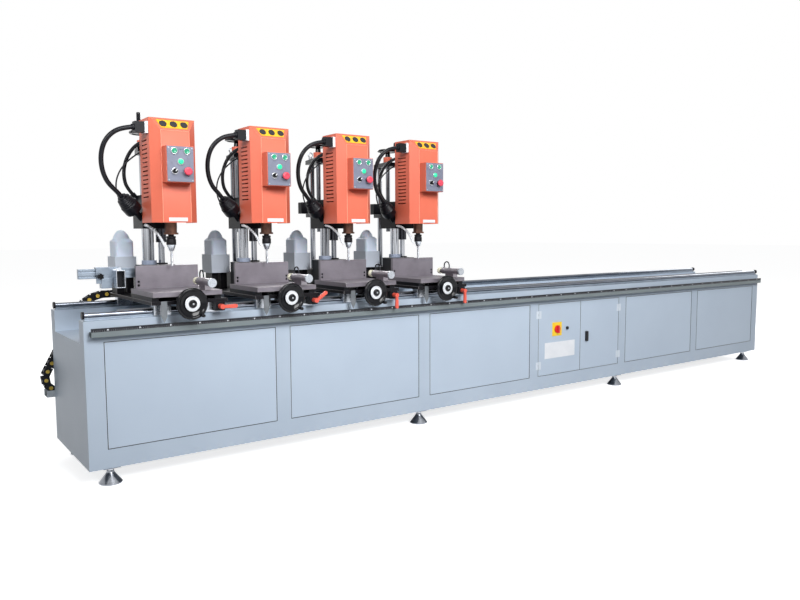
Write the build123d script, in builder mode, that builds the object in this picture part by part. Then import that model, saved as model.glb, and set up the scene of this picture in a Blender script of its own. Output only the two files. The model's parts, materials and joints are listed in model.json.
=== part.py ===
from build123d import *
import math
import os

# Four-head drilling machine on a long bed, for drilling rows of holes in profile bars.
# Millimetres, +Z up, origin on the floor under the middle of the whole machine.
# The bed lies along X, the operator stands on the -Y side, heads stand left of the middle.

# Clearances
FIT = 0.05
RUN = 0.3

# Bed, welded from plates
BED_LENGTH = 6000.0
BED_WIDTH = 732.0
BED_HEIGHT = 719.0
BED_PLATE = 6.0
UPRIGHT_WIDTH = 85.0
TROUGH_DEPTH = 113.0

# Levelling feet
FOOT_HEIGHT = 90.0
FOOT_DIAMETER = 112.0
FOOT_RIM = 9.0
FOOT_BELL = 30.0
FOOT_NECK = 38.0
STEM_DIAMETER = 20.0
FLANGE_SIZE = 80.0
FLANGE_THICKNESS = 10.0
FOOT_NUT = 36.0
FOOT_NUT_HEIGHT = 14.0
FOOT_END_INSET = 110.0
FOOT_SIDE_INSET = 62.0

# Bays in the front plate, with fixed panels and one pair of doors
BAY_COUNT = 6
DOOR_BAY_INDEX = 3
BAY_MARGIN = 88.0
BAY_BOTTOM = 94.0
BAY_TOP = 102.0
BAY_POST = 86.0
PANEL_THICKNESS = 3.0
PANEL_GAP = 3.0
SEAT_LIP = 15.0

# Door furniture
HINGE_RADIUS = 4.0
HINGE_PIN = 4.0
HINGE_STAND = 1.0
HINGE_KNUCKLE = 18.0
HINGE_LEAF = 20.0
HINGE_SHEET = 2.0
HINGE_INSET = 75.0
SWITCH_PLATE = 100.0
SWITCH_FROM_HINGE = 190.0
SWITCH_HEIGHT = 425.0
SWITCH_KNOB = 56.0
SWITCH_DEPTH = 22.0
SWITCH_GRIP = 14.0
SWITCH_STEM = 16.0
DOOR_LAMP_GAP = 57.0
DOOR_LAMP = 24.0
DOOR_LAMP_DEPTH = 9.0
NAME_PLATE_WIDTH = 320.0
NAME_PLATE_HEIGHT = 160.0
NAME_PLATE_BOTTOM = 193.0
TRIM_SHEET = 2.0
LATCH_FROM_EDGE = 66.0
LATCH_HEIGHT = 372.0
LATCH_LENGTH = 76.0
LATCH_WIDTH = 24.0
LATCH_DEPTH = 14.0
LATCH_STEM = 14.0
LATCH_EDGE = 6.0

# Control gear behind the doors
GEAR_PLATE_DEPTH = 240.0
GEAR_PLATE_SIDE = 70.0
GEAR_PLATE_HEIGHT = 500.0
GEAR_PLATE_SHEET = 4.0
CONTACTOR_COUNT = 8
CONTACTOR_SIZE = (45.0, 80.0, 85.0)
CONTACTOR_PITCH = 68.0
CONTACTOR_HEIGHT = 330.0
SUPPLY_SIZE = (180.0, 110.0, 150.0)
SUPPLY_HEIGHT = 130.0

# Front ledge with its steel rule
LEDGE_DEPTH = 40.0
LEDGE_HEIGHT = 26.0
LEDGE_DROP = 74.5
LEDGE_START = 25.0
LEDGE_END = 15.0
LEDGE_WALL = 3.0
RULE_THICKNESS = 6.0
RULE_HEIGHT = 17.0
RULE_SCREWS = 40
RULE_SCREW = 8.0
RULE_SCREW_HEAD = 2.0

# Guide rails
RAIL_DIAMETER = 24.0
RAIL_RISE = 26.0
RAIL_FRONT = 26.0
RAIL_REAR = 672.0
RAIL_BASE_WIDTH = 40.0
RAIL_BASE_HEIGHT = 5.0
RAIL_WEB = 12.0
RAIL_STOP_DIAMETER = 36.0
RAIL_STOP_LENGTH = 10.0

# Feed rack and pinion
GEAR_MODULE = 3.0
PINION_TEETH = 16
PRESSURE_ANGLE = 20.0
ADDENDUM = 2.4
DEDENDUM = 3.15
BACKLASH = 0.3
FLANK_STEPS = 4
RACK_LINE = 39.0
RACK_FRONT = 56.0
RACK_WIDTH = 22.0
RACK_BARS = 6
RACK_BAR_TEETH = 100
RACK_TEETH_LEFT = 33

# Energy chain and its tray on the back of the bed
TRAY_START = 40.0
TRAY_END = 3000.0
TRAY_SHEET = 3.0
TRAY_WIDTH = 80.0
TRAY_WALL = 34.0
CHAIN_WIDTH = 50.0
CHAIN_HEIGHT = 40.0
CHAIN_BEND = 80.0
CHAIN_TOP_BEND = 185.0
CHAIN_RISE_ANGLE = 62.0
CHAIN_BEND_X = 38.0
CHAIN_BEND_HEIGHT = 335.0
CHAIN_LINK = 46.0
CHAIN_NOTCH = 3.0
CHAIN_NOTCH_WIDTH = 2.0
BOOM_X = -120.0
BOOM_WIDTH = 60.0

# Head spacing along the bed
HEAD_INSET = 500.0
HEAD_TEETH = (0, 58, 116, 173)

# Carriage
BLOCK_LENGTH = 85.0
BLOCK_WIDTH = 50.0
BLOCK_HEIGHT = 53.0
BLOCK_GAP = 2.0
BLOCK_SLOT = 16.0
BLOCK_SPREAD = 127.0
PLATE_HALF = 195.0
PLATE_FRONT = 45.0
PLATE_REAR = 705.0
PLATE_THICKNESS = 18.0
PLATE_NOTCH_SIDE = 18.0
PLATE_NOTCH_BEHIND = 42.0
RISER_WIDTH = 34.0
RISER_HEIGHT = 21.0
TABLE_LEFT = 192.0
TABLE_RIGHT = 160.0
TABLE_OVERHANG = 64.0
TABLE_THICKNESS = 25.0
TABLE_BEHIND = 25.0

# Fence
DRILL_SETBACK = 215.0
DRILL_TO_FENCE = 40.0
FENCE_THICKNESS = 20.0
FENCE_HEIGHT = 118.0
FENCE_LEFT = 176.0
FENCE_RIGHT = 155.0
FENCE_SCREW = 13.0
FENCE_SCREW_DEPTH = 8.0
FENCE_SCREW_HEAD = 5.0
FENCE_SCREW_INSET = 13.0
FENCE_SCREW_HEIGHTS = (17.0, 36.0)

# Feed hand wheel and its shaft housing
WHEEL_X = -10.0
WHEEL_DIAMETER = 160.0
WHEEL_RIM = 18.0
WHEEL_SETOFF = 31.0
WHEEL_WEB = 8.0
WHEEL_HUB = 40.0
WHEEL_HUB_LENGTH = 34.0
DIAL_OUTER = 76.0
DIAL_SHEET = 4.0
SHAFT_DIAMETER = 20.0
GRIP_DIAMETER = 18.0
GRIP_LENGTH = 40.0
GRIP_ANGLE = -55.0
GRIP_BOSS = 12.0
HOUSING_SIDE = 30.0
HOUSING_BELOW = 17.0
HOUSING_FRONT = 45.0
HOUSING_REAR = 50.0

# Position pointer and carriage lock
POINTER_X = -134.0
POINTER_WIDTH = 30.0
POINTER_SHEET = 3.0
POINTER_TIP = 4.5
LOCK_X = 155.0
LOCK_SIDE = 25.0
LOCK_DEPTH = 42.0
LOCK_HEIGHT = 46.0
LOCK_STUD = 12.0
LOCK_STUD_DEPTH = 20.0
LEVER_HUB = 26.0
LEVER_HUB_LENGTH = 36.0
LEVER_ARM = 70.0
LEVER_ROOT = 14.0
LEVER_TIP = 20.0
LEVER_THICKNESS = 11.0
LEVER_REST = (0.0, 35.0, -90.0, -90.0)

# Work clamp
CLAMP_X = 88.0
CLAMP_RISE = 39.0
CLAMP_DIAMETER = 40.0
CLAMP_FRONT = 105.0
CLAMP_REAR = 65.0
CLAMP_CAP = 46.0
CLAMP_CAP_LENGTH = 12.0
CLAMP_BRACKET = 34.0
CLAMP_BRACKET_FRONT = 58.0
CLAMP_BRACKET_REAR = 22.0
CLAMP_BOSS = 16.0
CLAMP_BOSS_RISE = 22.0
CLAMP_PIPE = 8.0
CLAMP_PIPE_TOP = 58.0
CLAMP_PIPE_LEGS = (52.0, 2.0)
CLAMP_PIPE_BEND = 24.0
RAM_DIAMETER = 18.0
RAM_DEPTH = 110.0
RAM_REACH = 22.0
PAD_DIAMETER = 40.0
PAD_LENGTH = 14.0

# Coolant canister
CANISTER_X = -148.0
CANISTER_Y = 606.0
CANISTER_WIDTH = 97.0
CANISTER_DEPTH = 135.0
CANISTER_HEIGHT = 202.0
CANISTER_EDGE = 18.0
CANISTER_SHOULDER = 14.0
CANISTER_TOP_EDGE = 10.0
CANISTER_NECK = 46.0
CANISTER_NECK_HEIGHT = 10.0
CANISTER_CAP = 52.0
CANISTER_CAP_HEIGHT = 38.0
HOLDER_SHEET = 3.0
HOLDER_PLAY = 5.5
HOLDER_HEIGHT = 108.0
HOLDER_LEGS = 98.0
HOLDER_LEG_WIDTH = 40.0
HOLDER_LEG_DEPTH = 100.0
HOLDER_LEG_SPREAD = 27.0

# Column base, lift column, guide rod and rear post
BASE_LEFT = 120.0
BASE_RIGHT = 60.0
BASE_FRONT = 335.0
BASE_DEPTH = 120.0
BASE_HEIGHT = 165.0
BASE_REAR_SIDE = 60.0
BASE_REAR_END = 700.0
BASE_REAR_HEIGHT = 98.0
COLUMN_X = -65.0
COLUMN_Y = 388.0
COLUMN_DIAMETER = 56.0
COLUMN_HEIGHT = 338.0
COLUMN_COLLAR = 78.0
COLUMN_COLLAR_HEIGHT = 23.0
ROD_X = 7.0
ROD_Y = 400.0
ROD_DIAMETER = 33.0
ROD_FLANGE = 62.0
ROD_FLANGE_HEIGHT = 8.0
POST_X = -5.0
POST_Y = 648.0
POST_DIAMETER = 34.0
POST_HEIGHT = 675.0
CROWN_LEFT = 92.0
CROWN_REAR_LEFT = 37.0
CROWN_RIGHT = 40.0
CROWN_FRONT = 440.0
CROWN_REAR = 676.0
CROWN_THICKNESS = 27.0

# Lift screw with its hand wheel
SCREW_X = -46.0
SCREW_Y = 490.0
SCREW_DIAMETER = 28.0
SCREW_JOURNAL = 20.0
SCREW_END = 20.0
LIFT_COLLAR = 60.0
LIFT_COLLAR_HEIGHT = 36.0
LIFT_HUB = 36.0
LIFT_HUB_HEIGHT = 50.0
LIFT_HUB_TOP = 26.0
LIFT_WHEEL = 140.0
LIFT_RIM = 18.0
LIFT_RIM_HEIGHT = 18.0
LIFT_WEB = 8.0
LIFT_GRIP = 22.0
LIFT_GRIP_HEIGHTS = (110.0, 52.0, 52.0, 52.0)
LIFT_GRIP_ANGLES = (90.0, 0.0, 0.0, 0.0)
EYE_X = -10.0
EYE_Y = 653.0
EYE_RADIUS = 15.0
EYE_WIRE = 4.5
EYE_FOOT = 26.0
EYE_FOOT_HEIGHT = 20.0

# Drill head slide
HEAD_RISE = 312.0
SLIDE_SETBACK = 91.0
SLIDE_LEFT = 118.0
SLIDE_RIGHT = 65.0
SLIDE_DEPTH = 164.0
SLIDE_HEIGHT = 175.0
ARM_LEFT = 80.0
ARM_STRAIGHT = 54.0
ARM_REAR_LEFT = 40.0
ARM_RIGHT = 45.0
ARM_BOTTOM = 75.0
ARM_HEIGHT = 80.0
ARM_REAR = 674.0
SLEEVE_DIAMETER = 55.0
SLEEVE_LENGTH = 74.0
BACK_PLATE = 6.0
BACK_PLATE_BOTTOM = 35.0
JUNCTION_SIZE = (88.0, 45.0, 70.0)
JUNCTION_BOTTOM = 92.0
JUNCTION_HEADS = (False, False, True, True)

# Spindle housing, motor, spindle and drill
HOUSING_DIAMETER = 120.0
HOUSING_BOTTOM = 40.0
HOUSING_TOP = 235.0
HOUSING_ARM = 100.0
HOUSING_ARM_BOTTOM = 60.0
HOUSING_ARM_HEIGHT = 140.0
QUILL_DIAMETER = 62.0
QUILL_BELOW = 32.0
QUILL_FLANGE = 76.0
QUILL_FLANGE_HEIGHT = 10.0
MOTOR_DIAMETER = 150.0
MOTOR_HEIGHT = 250.0
SPINDLE_DIAMETER = 30.0
SPINDLE_TOP = 225.0
CHUCK_DIAMETER = 50.0
CHUCK_GAP = 8.0
CHUCK_LENGTH = 77.0
CHUCK_NOSE = 24.0
CHUCK_TAPER = 31.0
CHUCK_BORE_DEPTH = 40.0
DRILL_DIAMETER = 14.0
DRILL_REACH = 83.0
DRILL_POINT = 4.0

# Sheet cover of the head
COVER_WIDTH = 236.0
COVER_FRONT = 110.0
COVER_HEIGHT = 527.0
COVER_BOTTOM = 29.0
COVER_WALL = 2.0
COVER_CHAMFER = 45.0
COVER_SLOPE_DEPTH = 42.0
COVER_SLOPE_HEIGHT = 65.0
LOUVRE_COUNT = 14
LOUVRE_PITCH = 22.0
LOUVRE_LENGTH = 84.0
LOUVRE_HEIGHT = 6.0
LOUVRE_SETBACK = 14.0
LOUVRE_BOTTOM = 131.0
STRIP_BOTTOM = 134.0
STRIP_TOP = 170.0
STRIP_HEIGHT = 50.0
STRIP_PLUGS = 3
STRIP_PLUG = 38.0
STRIP_PLUG_PITCH = 54.0
STRIP_PLUG_HEIGHT = 2.0
COVER_PLATE_WIDTH = 97.0
COVER_PLATE_HEIGHT = 26.0
COVER_PLATE_X = 4.0
COVER_PLATE_RISE = 3.0

# Control box on the cover
BOX_X = 2.0
BOX_WIDTH = 142.0
BOX_DEPTH = 60.0
BOX_WALL = 6.0
BOX_HEIGHT = 182.0
BOX_BOTTOM = 229.0
PANEL_WIDTH = 136.0
PANEL_HEIGHT = 176.0
PANEL_SHEET = 3.0
PANEL_SCREW = 7.0
PANEL_SCREW_HEAD = 1.5
PANEL_SCREW_INSET = 8.0
CONTROL_SPREAD = 32.0
START_RISE = 64.0
LAMP_RISE = 12.0
STOP_DROP = 36.0
BEZEL_DIAMETER = 33.0
BEZEL_DEPTH = 7.0
BUTTON_DIAMETER = 26.0
BUTTON_DEPTH = 6.0
BUTTON_PROUD = 3.0
BUTTON_STEM = 14.0
CONTROL_STEM_DEPTH = 22.0
LAMP_DIAMETER = 34.0
LAMP_DEPTH = 12.0
STOP_DIAMETER = 42.0
STOP_DEPTH = 14.0
STOP_LIFT = 6.0
STOP_COLLAR = 32.0
SELECTOR_DIAMETER = 24.0
SELECTOR_DEPTH = 8.0
SELECTOR_BAR = 8.0
SELECTOR_BAR_DEPTH = 8.0

# Plug on the cover's left side
PLUG_Y = -32.0
PLUG_Z = 506.0
PLUG_BASE = (16.0, 52.0, 60.0)
PLUG_HOOD = (48.0, 44.0, 54.0)
PLUG_GLAND = 32.0

# Hoses, as points from the drill axis at the underside of the slide
BEND_SHARE = 0.45
MAIN_HOSE = 24.0
MAIN_HOSE_POINTS = (
    (-192, -32, 504),
    (-241, -31, 496),
    (-288, -26, 470),
    (-321, -17, 428),
    (-335, -4, 377),
    (-335, 9, 324),
    (-323, 22, 273),
    (-297, 37, 226),
    (-251, 57, 188),
    (-212, 76, 150),
)
MAIN_BOOT_STEPS = ((46.0, 14.0), (62.0, 36.0), (70.0, 50.0))
MAIN_SHANK = 32.0
MAIN_SHANK_LENGTH = 70.0
SECOND_HOSE = 19.0
SECOND_HOSE_POINTS = (
    (-84, 117, 457),
    (-110, 147, 445),
    (-140, 171, 411),
    (-163, 183, 365),
    (-176, 187, 315),
    (-177, 187, 265),
    (-166, 187, 219),
    (-138, 185, 184),
)
SECOND_GLAND = 28.0
SECOND_GLAND_LENGTH = 60.0
AIR_TUBE = 8.0
AIR_TUBE_POINTS = (
    (-70, 103, 420),
    (-71, 120, 419),
    (-95, 140, 405),
    (-140, 150, 374),
    (-190, 150, 328),
    (-225, 146, 268),
    (-234, 142, 204),
    (-217, 143, 148),
    (-180, 150, 106),
    (-136, 160, 76),
)
AIR_FITTING = 14.0
AIR_FITTING_LENGTH = 30.0
COOLANT_HOSE = 17.0
COOLANT_NECK = 13.0
COOLANT_BORE = 8.0
COOLANT_RIBS = 14
COOLANT_RIB_SHARES = (0.15, 0.7, 0.85)
COOLANT_POINTS = (
    (-104, 91, 17),
    (-104, 69, 17),
    (-94, 50, 9),
    (-78, 36, -7),
    (-60, 26, -29),
    (-45, 19, -56),
    (-35, 14, -83),
)
NOZZLE_LENGTH = 20.0
NOZZLE_TIP = 7.0

# Length stop beside the first head
STOP_RAIL_LEFT = 400.0
STOP_RAIL_RIGHT = 62.0
STOP_RAIL_DEPTH = 30.0
STOP_RAIL_HEIGHT = 50.0
STOP_RAIL_RISE = 57.0
STOP_RAIL_SLOT = 8.0
STOP_RAIL_SLOT_SHARES = (0.25, 0.75)
STOP_X = -260.0
STOP_TUBE_WIDTH = 45.0
STOP_TUBE_HEIGHT = 90.0
STOP_TUBE_LENGTH = 80.0
STOP_TUBE_RISE = 10.0
STOP_WALL = 4.0
STOP_SHOE = 8.0
STOP_SHOE_LEFT = 102.0
STOP_LIP = 8.0
STOP_BRACKET_WIDTH = 52.0
STOP_BRACKET_HEIGHT = 50.0
STOP_BRACKET_DEPTH = 45.0
STOP_KNOB = 32.0
STOP_KNOB_DEPTH = 18.0
STOP_KNOB_STUD = 10.0
STOP_KNOB_STEM = 16.0
STOP_KNOB_LOBES = 6
STOP_KNOB_NOTCH_PLACE = 0.62
STOP_KNOB_NOTCH_SIZE = 0.22

# Places that follow from the sizes above
pitch = math.pi * GEAR_MODULE
pinion_radius = GEAR_MODULE * PINION_TEETH / 2
chain_leftmost = CHAIN_BEND + CHAIN_HEIGHT / 2 - CHAIN_BEND_X
left_reach = max(chain_leftmost, TRAY_START)
grip_front = TABLE_OVERHANG + WHEEL_SETOFF + WHEEL_RIM / 2 + GRIP_LENGTH
bed_left = (left_reach - BED_LENGTH) / 2
bed_right = bed_left + BED_LENGTH
bed_front = (grip_front - BED_WIDTH - TRAY_WIDTH) / 2
bed_rear = bed_front + BED_WIDTH
bed_base = FOOT_HEIGHT
bed_top = bed_base + BED_HEIGHT
trough_floor = bed_top - TROUGH_DEPTH
rear_upright = bed_rear - UPRIGHT_WIDTH
front_upright = bed_front + UPRIGHT_WIDTH

bay_width = (BED_LENGTH - 2 * BAY_MARGIN - (BAY_COUNT - 1) * BAY_POST) / BAY_COUNT
bay_lefts = [bed_left + BAY_MARGIN + n * (bay_width + BAY_POST) for n in range(BAY_COUNT)]
bay_low = bed_base + BAY_BOTTOM
bay_high = bed_top - BAY_TOP
door_left = bay_lefts[DOOR_BAY_INDEX]
door_right = door_left + bay_width
door_middle = (door_left + door_right) / 2
door_low = bay_low + PANEL_GAP
door_high = bay_high - PANEL_GAP
hinge_y = bed_front - HINGE_RADIUS - RUN
hinge_left = door_left + PANEL_GAP
hinge_right = door_right - PANEL_GAP
hinge_heights = (door_low + HINGE_INSET, door_high - HINGE_INSET)
switch_x = hinge_left + SWITCH_FROM_HINGE
switch_z = bed_base + SWITCH_HEIGHT
latch_x = door_middle + LATCH_FROM_EDGE
latch_z = bed_base + LATCH_HEIGHT
latch_top = latch_z + LATCH_WIDTH / 2
switch_front = bed_front - TRIM_SHEET

foot_xs = (
    bed_left + FOOT_END_INSET,
    bay_lefts[2] - BAY_POST / 2,
    bay_lefts[4] - BAY_POST / 2,
    bed_right - FOOT_END_INSET,
)
foot_ys = (bed_front + FOOT_SIDE_INSET, bed_rear - FOOT_SIDE_INSET)
ledge_low = bed_top - LEDGE_DROP
ledge_high = ledge_low + LEDGE_HEIGHT
rule_high = ledge_high + RULE_HEIGHT
rule_front = bed_front - LEDGE_DEPTH

rail_ys = (bed_front + RAIL_FRONT, bed_front + RAIL_REAR)
rail_z = bed_top + RAIL_RISE
rack_z = bed_top + RACK_LINE
rack_ys = (bed_front + RACK_FRONT, bed_front + RACK_FRONT + RACK_WIDTH)
wheel_z = rack_z + pinion_radius
head_xs = [bed_left + HEAD_INSET + teeth * pitch for teeth in HEAD_TEETH]

block_low = bed_top + RAIL_BASE_HEIGHT + BLOCK_GAP
block_top = block_low + BLOCK_HEIGHT
plate_top = block_top + PLATE_THICKNESS
plate_front = bed_front - PLATE_FRONT
plate_rear = bed_front + PLATE_REAR
riser_top = plate_top + RISER_HEIGHT
table_top = riser_top + TABLE_THICKNESS
table_front = bed_front - TABLE_OVERHANG
drill_y = bed_front + DRILL_SETBACK
fence_front = drill_y + DRILL_TO_FENCE
fence_rear = fence_front + FENCE_THICKNESS
fence_top = table_top + FENCE_HEIGHT
table_rear = fence_rear + TABLE_BEHIND
wheel_y = table_front - WHEEL_SETOFF
lock_z = block_top - LOCK_HEIGHT / 2
lock_front = plate_front
clamp_z = table_top + CLAMP_RISE
clamp_rear = bed_front + CLAMP_REAR
clamp_front = bed_front - CLAMP_FRONT

base_front = bed_front + BASE_FRONT
base_rear = base_front + BASE_DEPTH
base_top = plate_top + BASE_HEIGHT
base_low_top = plate_top + BASE_REAR_HEIGHT
column_at = (COLUMN_X, bed_front + COLUMN_Y)
rod_at = (ROD_X, bed_front + ROD_Y)
post_at = (POST_X, bed_front + POST_Y)
screw_at = (SCREW_X, bed_front + SCREW_Y)
crown_low = base_low_top + POST_HEIGHT
crown_top = crown_low + CROWN_THICKNESS
lift_collar_top = crown_top + LIFT_COLLAR_HEIGHT
lift_hub_low = lift_collar_top + RUN
lift_wheel_low = lift_hub_low + LIFT_HUB_HEIGHT - LIFT_RIM_HEIGHT

head_z = table_top + HEAD_RISE
cover_front = drill_y - COVER_FRONT
cover_half = COVER_WIDTH / 2
cover_low = head_z + COVER_BOTTOM
cover_top = cover_low + COVER_HEIGHT
slide_front = drill_y + SLIDE_SETBACK
slide_rear = slide_front + SLIDE_DEPTH
arm_low = head_z + ARM_BOTTOM
arm_high = arm_low + ARM_HEIGHT
housing_top = head_z + HOUSING_TOP
quill_low = head_z - QUILL_BELOW
chuck_top = quill_low - CHUCK_GAP
chuck_low = chuck_top - CHUCK_LENGTH
box_front = cover_front - BOX_DEPTH
box_low = head_z + BOX_BOTTOM
panel_front = box_front - PANEL_SHEET
panel_z = box_low + BOX_HEIGHT / 2
start_at = [(BOX_X + side * CONTROL_SPREAD, panel_z + START_RISE) for side in (-1, 1)]
lamp_at = (BOX_X, panel_z + LAMP_RISE)
selector_at = (BOX_X - CONTROL_SPREAD, panel_z - STOP_DROP)
stop_at = (BOX_X + CONTROL_SPREAD, panel_z - STOP_DROP)

os.makedirs("parts", exist_ok=True)


# A box between limits, for use inside a part
def slab(x, y, z, mode=Mode.ADD):
    with Locations(((x[0] + x[1]) / 2, (y[0] + y[1]) / 2, (z[0] + z[1]) / 2)):
        Box(x[1] - x[0], y[1] - y[0], z[1] - z[0], mode=mode)


# Round bars along Z, Y and X, each given by its axis, its two ends and its diameter
def bar_up(at, z, diameter, mode=Mode.ADD):
    with Locations((at[0], at[1], (z[0] + z[1]) / 2)):
        Cylinder(diameter / 2, z[1] - z[0], mode=mode)


def bar_back(at, y, diameter, mode=Mode.ADD):
    with Locations((at[0], (y[0] + y[1]) / 2, at[1])):
        Cylinder(diameter / 2, y[1] - y[0], rotation=(90, 0, 0), mode=mode)


def bar_along(at, x, diameter, mode=Mode.ADD):
    with Locations(((x[0] + x[1]) / 2, at[0], at[1])):
        Cylinder(diameter / 2, x[1] - x[0], rotation=(0, 90, 0), mode=mode)


# A round bar that starts on a plane and runs along its normal
def bar_from(plane, length, diameter, mode=Mode.ADD):
    with Locations(plane):
        Cylinder(diameter / 2, length, align=(Align.CENTER, Align.CENTER, Align.MIN), mode=mode)


# Limits on both sides of a middle
def about(middle, width):
    return (middle - width / 2, middle + width / 2)


# Plates, round bars and rings that are pieces by themselves
def plate(x, y, z):
    with BuildPart() as piece:
        slab(x, y, z)
    return piece.part


def ring_up(at, z, outer, inner):
    with BuildPart() as piece:
        bar_up(at, z, outer)
        bar_up(at, z, inner + 2 * FIT, Mode.SUBTRACT)
    return piece.part


def ring_back(at, y, outer, inner):
    with BuildPart() as piece:
        bar_back(at, y, outer)
        bar_back(at, y, inner, Mode.SUBTRACT)
    return piece.part


def post_up(at, z, diameter):
    with BuildPart() as piece:
        bar_up(at, z, diameter)
    return piece.part


def post_back(at, y, diameter):
    with BuildPart() as piece:
        bar_back(at, y, diameter)
    return piece.part


# Pieces of one node, kept as separate solids
def grouped(pieces):
    return Compound([solid for piece in pieces for solid in piece.solids()])


def write(shape, name, shift=0.0):
    placed = shape.moved(Location((shift, 0, 0)))
    placed.label = name
    export_step(placed, f"parts/{name}.step")


# Bed plates
length_inside = (bed_left + BED_PLATE, bed_right - BED_PLATE)
front_layer = (bed_front, bed_front + BED_PLATE)
seat_layer = (bed_front + PANEL_THICKNESS, bed_front + BED_PLATE)
floor_top = bed_base + BED_PLATE
top_layer = (bed_top - BED_PLATE, bed_top)
wall_heights = (trough_floor, bed_top - BED_PLATE)

with BuildPart() as bed_floor:
    slab((bed_left, bed_right), (bed_front, bed_rear), (bed_base, floor_top))
    for foot_x in foot_xs:
        for foot_y in foot_ys:
            bar_up((foot_x, foot_y), (bed_base, floor_top), STEM_DIAMETER + 2 * FIT, Mode.SUBTRACT)

bed_plates = [
    bed_floor.part,
    plate(length_inside, (bed_rear - BED_PLATE, bed_rear), (floor_top, bed_top - BED_PLATE)),
    plate(length_inside, (rear_upright, bed_rear), top_layer),
    plate(length_inside, (rear_upright, rear_upright + BED_PLATE), wall_heights),
    plate(length_inside, (bed_front, front_upright), top_layer),
    plate(length_inside, (front_upright - BED_PLATE, front_upright), wall_heights),
    plate(
        length_inside,
        (front_upright - BED_PLATE, rear_upright + BED_PLATE),
        (trough_floor - BED_PLATE, trough_floor),
    ),
]
for end_x in ((bed_left, bed_left + BED_PLATE), (bed_right - BED_PLATE, bed_right)):
    bed_plates.append(plate(end_x, (bed_front, bed_rear), (floor_top, trough_floor)))
    bed_plates.append(plate(end_x, (bed_front, front_upright), (trough_floor, bed_top)))
    bed_plates.append(plate(end_x, (rear_upright, bed_rear), (trough_floor, bed_top)))
for bay_left in bay_lefts[1:]:
    bulkhead_x = about(bay_left - BAY_POST / 2, BED_PLATE)
    bulkhead_y = (bed_front + BED_PLATE, bed_rear - BED_PLATE)
    bed_plates.append(plate(bulkhead_x, bulkhead_y, (floor_top, trough_floor - BED_PLATE)))

# Front strips above and below the bays, with the lips that the panels seat on
with BuildPart() as front_low:
    slab(length_inside, front_layer, (floor_top, bay_low))
    for bay_left in bay_lefts:
        slab((bay_left, bay_left + bay_width), seat_layer, (bay_low, bay_low + SEAT_LIP))
with BuildPart() as front_high:
    slab(length_inside, front_layer, (bay_high, bed_top - BED_PLATE))
    for bay_left in bay_lefts:
        slab((bay_left, bay_left + bay_width), seat_layer, (bay_high - SEAT_LIP, bay_high))
bed_plates += [front_low.part, front_high.part]


# Front posts between the bays, with their lips
def front_post(left, right, lips):
    lip_heights = (bay_low + SEAT_LIP, bay_high - SEAT_LIP)
    with BuildPart() as post:
        slab((left, right), front_layer, (bay_low, bay_high))
        if lips[0]:
            slab((left - SEAT_LIP, left), seat_layer, lip_heights)
        if lips[1]:
            slab((right, right + SEAT_LIP), seat_layer, lip_heights)
    return post.part


bed_plates.append(front_post(length_inside[0], bay_lefts[0], (False, True)))
for bay_left in bay_lefts[1:]:
    bed_plates.append(front_post(bay_left - BAY_POST, bay_left, (True, True)))
bed_plates.append(front_post(bay_lefts[-1] + bay_width, length_inside[1], (True, False)))

# Chain tray along the back
tray_x = (bed_left - TRAY_START, bed_left + TRAY_END)
tray_top = bed_base + CHAIN_BEND_HEIGHT - CHAIN_BEND - CHAIN_HEIGHT / 2
tray_y = (bed_rear, bed_rear + TRAY_WIDTH)
tray_walls = (tray_top, tray_top + TRAY_WALL)
bed_plates += [
    plate(tray_x, tray_y, (tray_top - TRAY_SHEET, tray_top)),
    plate(tray_x, (tray_y[0], tray_y[0] + TRAY_SHEET), tray_walls),
    plate(tray_x, (tray_y[1] - TRAY_SHEET, tray_y[1]), tray_walls),
]

# Control gear on its mounting plate behind the doors
gear_front = bed_front + GEAR_PLATE_DEPTH
gear_x = (door_left + GEAR_PLATE_SIDE, door_right - GEAR_PLATE_SIDE)
gear_rear = gear_front + GEAR_PLATE_SHEET
bed_plates.append(plate(gear_x, (gear_front, gear_rear), (floor_top, floor_top + GEAR_PLATE_HEIGHT)))
for n in range(CONTACTOR_COUNT):
    contactor_x = door_middle + (n - (CONTACTOR_COUNT - 1) / 2) * CONTACTOR_PITCH
    contactor_z = floor_top + CONTACTOR_HEIGHT
    bed_plates.append(
        plate(
            about(contactor_x, CONTACTOR_SIZE[0]),
            (gear_front - CONTACTOR_SIZE[1], gear_front),
            (contactor_z, contactor_z + CONTACTOR_SIZE[2]),
        )
    )
supply_z = floor_top + SUPPLY_HEIGHT
bed_plates.append(
    plate(
        about(door_middle, SUPPLY_SIZE[0]),
        (gear_front - SUPPLY_SIZE[1], gear_front),
        (supply_z, supply_z + SUPPLY_SIZE[2]),
    )
)


# Hinges: two knuckles with the pin and a leaf on the bed, one knuckle with a leaf on the door
def hinge_sheets(axis_x, side, height, strips):
    near = HINGE_RADIUS + HINGE_STAND
    leaf = sorted((axis_x + side * near, axis_x + side * (near + HINGE_LEAF)))
    strip = sorted((axis_x, axis_x + side * near))
    sheet = (bed_front - HINGE_SHEET, bed_front)
    slab(leaf, sheet, about(height, 3 * HINGE_KNUCKLE))
    for strip_z in strips:
        slab(strip, sheet, strip_z)
        bar_up((axis_x, hinge_y), strip_z, 2 * HINGE_RADIUS)


def door_hinge(axis_x, side, height):
    middle = about(height, HINGE_KNUCKLE)
    with BuildPart() as half:
        hinge_sheets(axis_x, side, height, [middle])
        bar_up((axis_x, hinge_y), middle, HINGE_PIN + 2 * FIT, Mode.SUBTRACT)
    return half.part


def bed_hinge(axis_x, side, height):
    outer = (HINGE_KNUCKLE / 2 + RUN, HINGE_KNUCKLE * 3 / 2)
    with BuildPart() as half:
        strips = [(height + outer[0], height + outer[1]), (height - outer[1], height - outer[0])]
        hinge_sheets(axis_x, -side, height, strips)
        bar_up((axis_x, hinge_y), about(height, 3 * HINGE_KNUCKLE), HINGE_PIN)
    return half.part


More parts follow.
